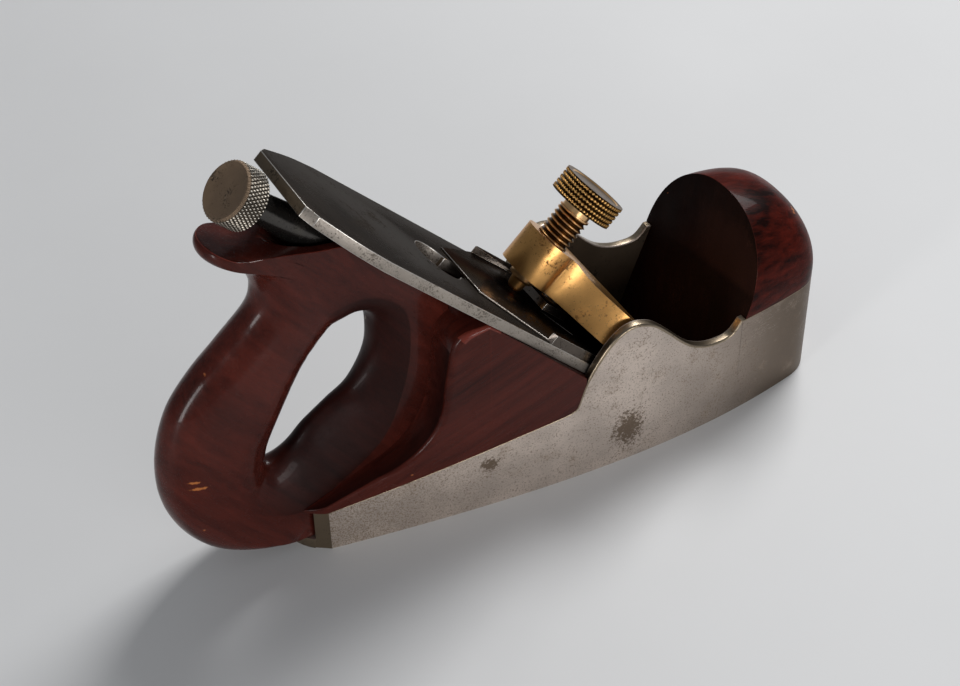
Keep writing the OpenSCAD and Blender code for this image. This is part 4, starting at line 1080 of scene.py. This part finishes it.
class PlaneSizes(bpy.types.PropertyGroup):
    hump_round: length("Hump rounding", "Radius rubbed onto the hump's outer edge", 0.0009, 0.0002, 0.0015)
    thread_pitch: length("Thread pitch", "Pitch of the lever screw's thread", 0.0019, 0.001, 0.003)
    thread_depth: length("Thread depth", "Depth of that thread", 0.00095, 0.0002, 0.0012)
    knurl_count: IntProperty(
        name="Knurl count", description="Diamonds round the adjuster knob", default=50, min=20, max=90)
    knurl_depth: length("Knurl depth", "Depth of the knurling", 0.00042, 0.0001, 0.0008)
    bead_count: IntProperty(
        name="Bead count", description="Beads round each ridge of the screw head", default=56, min=24,
        max=90)
    lever_round: length("Lever rounding", "Radius on the lever cap's edges", 0.0007, 0.0002, 0.0015)


class PlaneColours(bpy.types.PropertyGroup):
    rosewood_dark: colour("Rosewood, dark", "Dark bands of the rosewood", (0.020, 0.0042, 0.003))
    rosewood_light: colour("Rosewood, light", "Light bands of the rosewood", (0.092, 0.0165, 0.0105))
    steel: colour("Steel", "Bare steel of the body", (0.62, 0.53, 0.465))
    iron: colour("Iron", "Dark steel of the cutting iron", (0.085, 0.072, 0.062))
    gunmetal: colour("Gunmetal", "Metal of the lever cap and its screw", (0.66, 0.35, 0.115))
    rust: colour("Rust", "Rusted end face of the adjuster knob", (0.20, 0.135, 0.085))
    floor: colour("Floor", "Pale floor under the plane", (0.62, 0.62, 0.62))


# Operators


class PLANE_OT_finishes(bpy.types.Operator):
    """Makes the shared effects and every finish"""

    bl_idname = "plane.finishes"
    bl_label = "Finishes"

    def execute(self, context):
        for make_group in (wood_figure_group, dents_group, scratches_group, pitting_group, spot_group,
                           edge_wear_group):
            make_group()
        look = context.scene.plane_colours
        finishes.update(wood_finishes(tuple(look.rosewood_dark), tuple(look.rosewood_light)))
        finishes.update(metal_finishes(tuple(look.steel), tuple(look.iron), tuple(look.gunmetal),
                                       tuple(look.rust)))
        return {"FINISHED"}


class PLANE_OT_handle(bpy.types.Operator):
    """Makes the closed handle with its horn and hand hole"""

    bl_idname = "plane.handle"
    bl_label = "Handle"

    def execute(self, context):
        surface, tags, hollow = handle_surface(8, 14)
        piece = grid_piece("handle_wood", surface, True, False, tags, hollow)
        carve(piece, adjuster_hollows())
        paint(piece, "handle", "rubbed wood, painted highlight")
        settle(piece, "body", "handle", 38)
        return {"FINISHED"}


class PLANE_OT_infills(bpy.types.Operator):
    """Makes the rear infill with its cheeks and the domed front infill"""

    bl_idname = "plane.infills"
    bl_label = "Infills"

    def execute(self, context):
        surface, tags, hollow = rear_infill_surface(6)
        rear = grid_piece("rear_infill_wood", surface, tags=tags, hollow=hollow)
        slot = HANDLE_T / 2 + HANDLE_FIT
        carve(rear, adjuster_hollows() + [
            box_cutter((-60, -slot, 0), (HANDLE_FRONT_X + HANDLE_FIT, slot, 150)),
            box_cutter((-60, -60, 0), (HEEL_VOID_X, 60, HEEL_H)),
        ])
        paint(rear, "infill", "rubbed wood, painted highlight")
        settle(rear, "body", "rear_infill")
        dome = grid_piece("front_infill_wood", dome_surface(34, 26))
        paint(dome, "dome", "rubbed wood, painted highlight", "end grain in painted shade")
        # The rear face takes the end grain finish, darkened by painted shade
        for face in dome.data.polygons:
            face.material_index = 2 if face.normal.x < -0.9 else 0
        # The rounded arris takes the lighter wood: wear and a painted highlight
        soften(dome, 0.45, 3, 45, worn=1)
        settle(dome, "body", "front_infill")
        return {"FINISHED"}


class PLANE_OT_body(bpy.types.Operator):
    """Makes the side plates, the sole and the cross rod, and dresses the sole screws"""

    bl_idname = "plane.body"
    bl_label = "Steel body"

    def execute(self, context):
        for name, side in (("side_right", -1), ("side_left", 1)):
            grid, tags = side_surface(side, context.scene.plane_sizes.hump_round / MM)
            piece = grid_piece(name + "_plate", grid, tags=tags, first_cap=3)
            paint(piece, "steel", "steel edge", "steel inside", "iron end")
            settle(piece, "body", name)
        sole = prism("sole_steel", sole_outline(), 0, SOLE_T, plain_place)
        mouth = [[MOUTH_X, -1], [MOUTH_X, 1.5], [MOUTH_X + 4 * math.tan(THROAT_LEAN), SOLE_T + 1],
                 [bed_reach(SOLE_T + 1), SOLE_T + 1], [bed_reach(-1), -1]]
        cutters = [prism("mouth", mouth, -MOUTH_W / 2, MOUTH_W / 2, lambda a, b, c: plain_place(a, c, b))]
        cutters += [turned("hole", SCREW_HOLE, 48, upright_x(x)) for x in SCREW_XS]
        carve(sole, cutters)
        soften(sole, 0.25)
        paint(sole, "sole", "iron end")
        settle(sole, "body", "sole_plate")
        for face in sole.data.polygons:
            face.material_index = int(face.center.x < 0 and abs(face.normal.z) < 0.5)
        along, up, radius = LEVER_ROD
        reach = float(plan_half(bed_point(along, 0, up)[0])) - 0.3
        rod = turned("lever_rod_steel", [[0, -reach], [radius, -reach], [radius, reach], [0, reach]], 48,
                     across_at(along, up))
        paint(rod, "steel")
        settle(rod, "body", "lever_rod")
        dress("screw", *(f"sole_screw_{i}" for i in range(1, 6)))
        return {"FINISHED"}


class PLANE_OT_irons(bpy.types.Operator):
    """Makes the cutting iron and the cap iron with rubbed edges, and dresses the screw between them"""

    bl_idname = "plane.irons"
    bl_label = "Irons"

    def execute(self, context):
        blade = copy_of("cutting_iron", "cutting_iron_steel")
        paint(blade, "iron", "iron edge", "iron side", "iron end")
        for face in blade.data.polygons:
            lengthways = face.normal.z * math.sin(BED) - face.normal.x * math.cos(BED)
            face.material_index = 2 if abs(face.normal.y) > 0.7 else 3 if lengthways > 0.3 else 0
        soften(blade, 0.22, 2, 20, worn=1)
        settle(blade, "iron", "cutting_iron")
        cap = copy_of("cap_iron", "cap_iron_steel")
        paint(cap, "cap", "iron edge")
        soften(cap, 0.16, 2, 24, worn=1)
        settle(cap, "iron", "cap_iron")
        dress("bright", "cap_iron_screw")
        return {"FINISHED"}


class PLANE_OT_lever(bpy.types.Operator):
    """Makes the lever cap, its threaded screw and the beaded head, and dresses the foot"""

    bl_idname = "plane.lever"
    bl_label = "Lever cap and screw"

    def execute(self, context):
        sizes = context.scene.plane_sizes
        lever = copy_of("lever_cap", "lever_cap_casting")
        fillet(lever, 2.2)
        paint(lever, "gold", "gold edge")
        soften(lever, sizes.lever_round / MM, 3, 32, worn=1)
        settle(lever, "lever", "lever_cap", 60)
        shank = turned("lever_screw_thread", thread_profile(), 96, upright(LEVER_SCREW_L),
                       thread_rise(sizes.thread_pitch / MM, sizes.thread_depth / MM, 10, 36.6))
        paint(shank, "thread")
        settle(shank, "screw", "lever_screw", 55)
        head = turned("lever_screw_head_beaded", head_profile(), 448, upright(LEVER_SCREW_L),
                      bead_rise(sizes.bead_count, HEAD_RIDGES, HEAD_LOW, HEAD_HIGH, 0.8, 0.6, HEAD_R - 0.1))
        paint(head, "head", "head top in painted shade")
        settle(head, "screw", "lever_screw_head", 60)
        bed_up = Vector((math.sin(BED), 0, math.cos(BED)))
        # Faces that look up the iron take the darker top: painted shade
        for face in head.data.polygons:
            face.material_index = int(face.normal.dot(bed_up) > 0.95)
        dress("gold", "lever_screw_tip")
        return {"FINISHED"}


class PLANE_OT_adjuster(bpy.types.Operator):
    """Makes the barrel and the knurled knob, and dresses the adjuster's inner parts"""

    bl_idname = "plane.adjuster"
    bl_label = "Adjuster"

    def execute(self, context):
        sizes = context.scene.plane_sizes
        axis = lengthwise(BARREL_AXIS_D)
        barrel = turned("adjuster_barrel_black", barrel_profile(), 96, axis)
        paint(barrel, "black")
        settle(barrel, "adjuster", "adjuster_barrel")
        knob = turned("adjuster_knob_knurled", knob_profile(), 480, axis,
                      knurl_rise(sizes.knurl_count, KNURL_LEAD, sizes.knurl_depth / MM, KNOB_LOW + 0.5,
                                 KNOB_HIGH - 0.5, KNOB_R - 0.05))
        paint(knob, "knob", "rusty")
        settle(knob, "adjuster", "adjuster_knob", 60)
        centres = np.empty(len(knob.data.polygons) * 3)
        knob.data.polygons.foreach_get("center", centres)
        x, _, z = centres.reshape(-1, 3).T / MM
        along = z * math.sin(BED) - (x - EDGE_X) * math.cos(BED)
        on_end = along > KNOB_HIGH - 0.75
        knob.data.polygons.foreach_set("material_index", on_end.astype(np.int32))
        dress("bright", "adjuster_plate", "pivot_stud", "swivel_block", "spindle", "cup_ring")
        dress("screw", "plate_screw_upper", "plate_screw_lower")
        return {"FINISHED"}


class PLANE_OT_stage(bpy.types.Operator):
    """Makes the pale floor, the soft lamps and the camera"""

    bl_idname = "plane.stage"
    bl_label = "Stage"

    def execute(self, context):
        scene = context.scene
        floor = linked("floor", bpy.data.meshes.new("floor"))
        floor.data.from_pydata([(-4, -4, 0), (4, -4, 0), (4, 4, 0), (-4, 4, 0)], [], [(0, 1, 2, 3)])
        pale = tuple(scene.plane_colours.floor)
        material, shader, vector = new_material("Floor", Roughness=0.55)
        tone = mix_colour(noise(vector, 0.01, 5, 0.6), pale, shaded(pale, 0.94))
        put(shader.inputs["Base Color"], tone)
        floor.data.materials.append(material)
        world = bpy.data.worlds.new("Studio")
        world.use_nodes = True
        background = world.node_tree.nodes["Background"].inputs
        background["Color"].default_value = (0.8, 0.84, 0.9, 1)
        background["Strength"].default_value = 0.24
        scene.world = world
        for name, place, aim, size, power in LAMPS:
            lamp = bpy.data.lights.new(name, "AREA")
            lamp.shape = "RECTANGLE"
            lamp.size, lamp.size_y = size
            lamp.energy = power
            back = unit(np.subtract(place, aim))
            side = unit(np.cross([0, 0, 1], back))
            linked(name, lamp).matrix_world = standing(side, np.cross(back, side), back, place)
        camera = bpy.data.cameras.new("camera")
        camera.sensor_width = 36
        camera.lens = CAMERA_LENS
        scene.camera = linked("camera", camera)
        scene.camera.matrix_world = standing(*CAMERA_AXES, CAMERA_PLACE)
        scene.view_settings.view_transform = "Standard"
        return {"FINISHED"}


STEPS = (PLANE_OT_finishes, PLANE_OT_handle, PLANE_OT_infills, PLANE_OT_body, PLANE_OT_irons,
         PLANE_OT_lever, PLANE_OT_adjuster, PLANE_OT_stage)


class PLANE_PT_panel(bpy.types.Panel):
    """Lists the plane's sizes, colours and steps"""

    bl_idname = "PLANE_PT_panel"
    bl_label = "Infill smoothing plane"
    bl_space_type = "VIEW_3D"
    bl_region_type = "UI"
    bl_category = "Plane"

    def draw(self, context):
        for group in (context.scene.plane_sizes, context.scene.plane_colours):
            for name in group.bl_rna.properties.keys():
                if name not in ("rna_type", "name"):
                    self.layout.prop(group, name)
        for step in STEPS:
            self.layout.operator(step.bl_idname)


CLASSES = (PlaneSizes, PlaneColours, *STEPS, PLANE_PT_panel)


def register():
    for cls in CLASSES:
        bpy.utils.register_class(cls)
    bpy.types.Scene.plane_sizes = PointerProperty(type=PlaneSizes)
    bpy.types.Scene.plane_colours = PointerProperty(type=PlaneColours)


def unregister():
    del bpy.types.Scene.plane_colours
    del bpy.types.Scene.plane_sizes
    for cls in reversed(CLASSES):
        bpy.utils.unregister_class(cls)


def main():
    register()
    bpy.ops.plane.finishes()
    bpy.ops.plane.handle()
    bpy.ops.plane.infills()
    bpy.ops.plane.body()
    bpy.ops.plane.irons()
    bpy.ops.plane.lever()
    bpy.ops.plane.adjuster()
    bpy.ops.plane.stage()


if __name__ == "__main__":
    main()
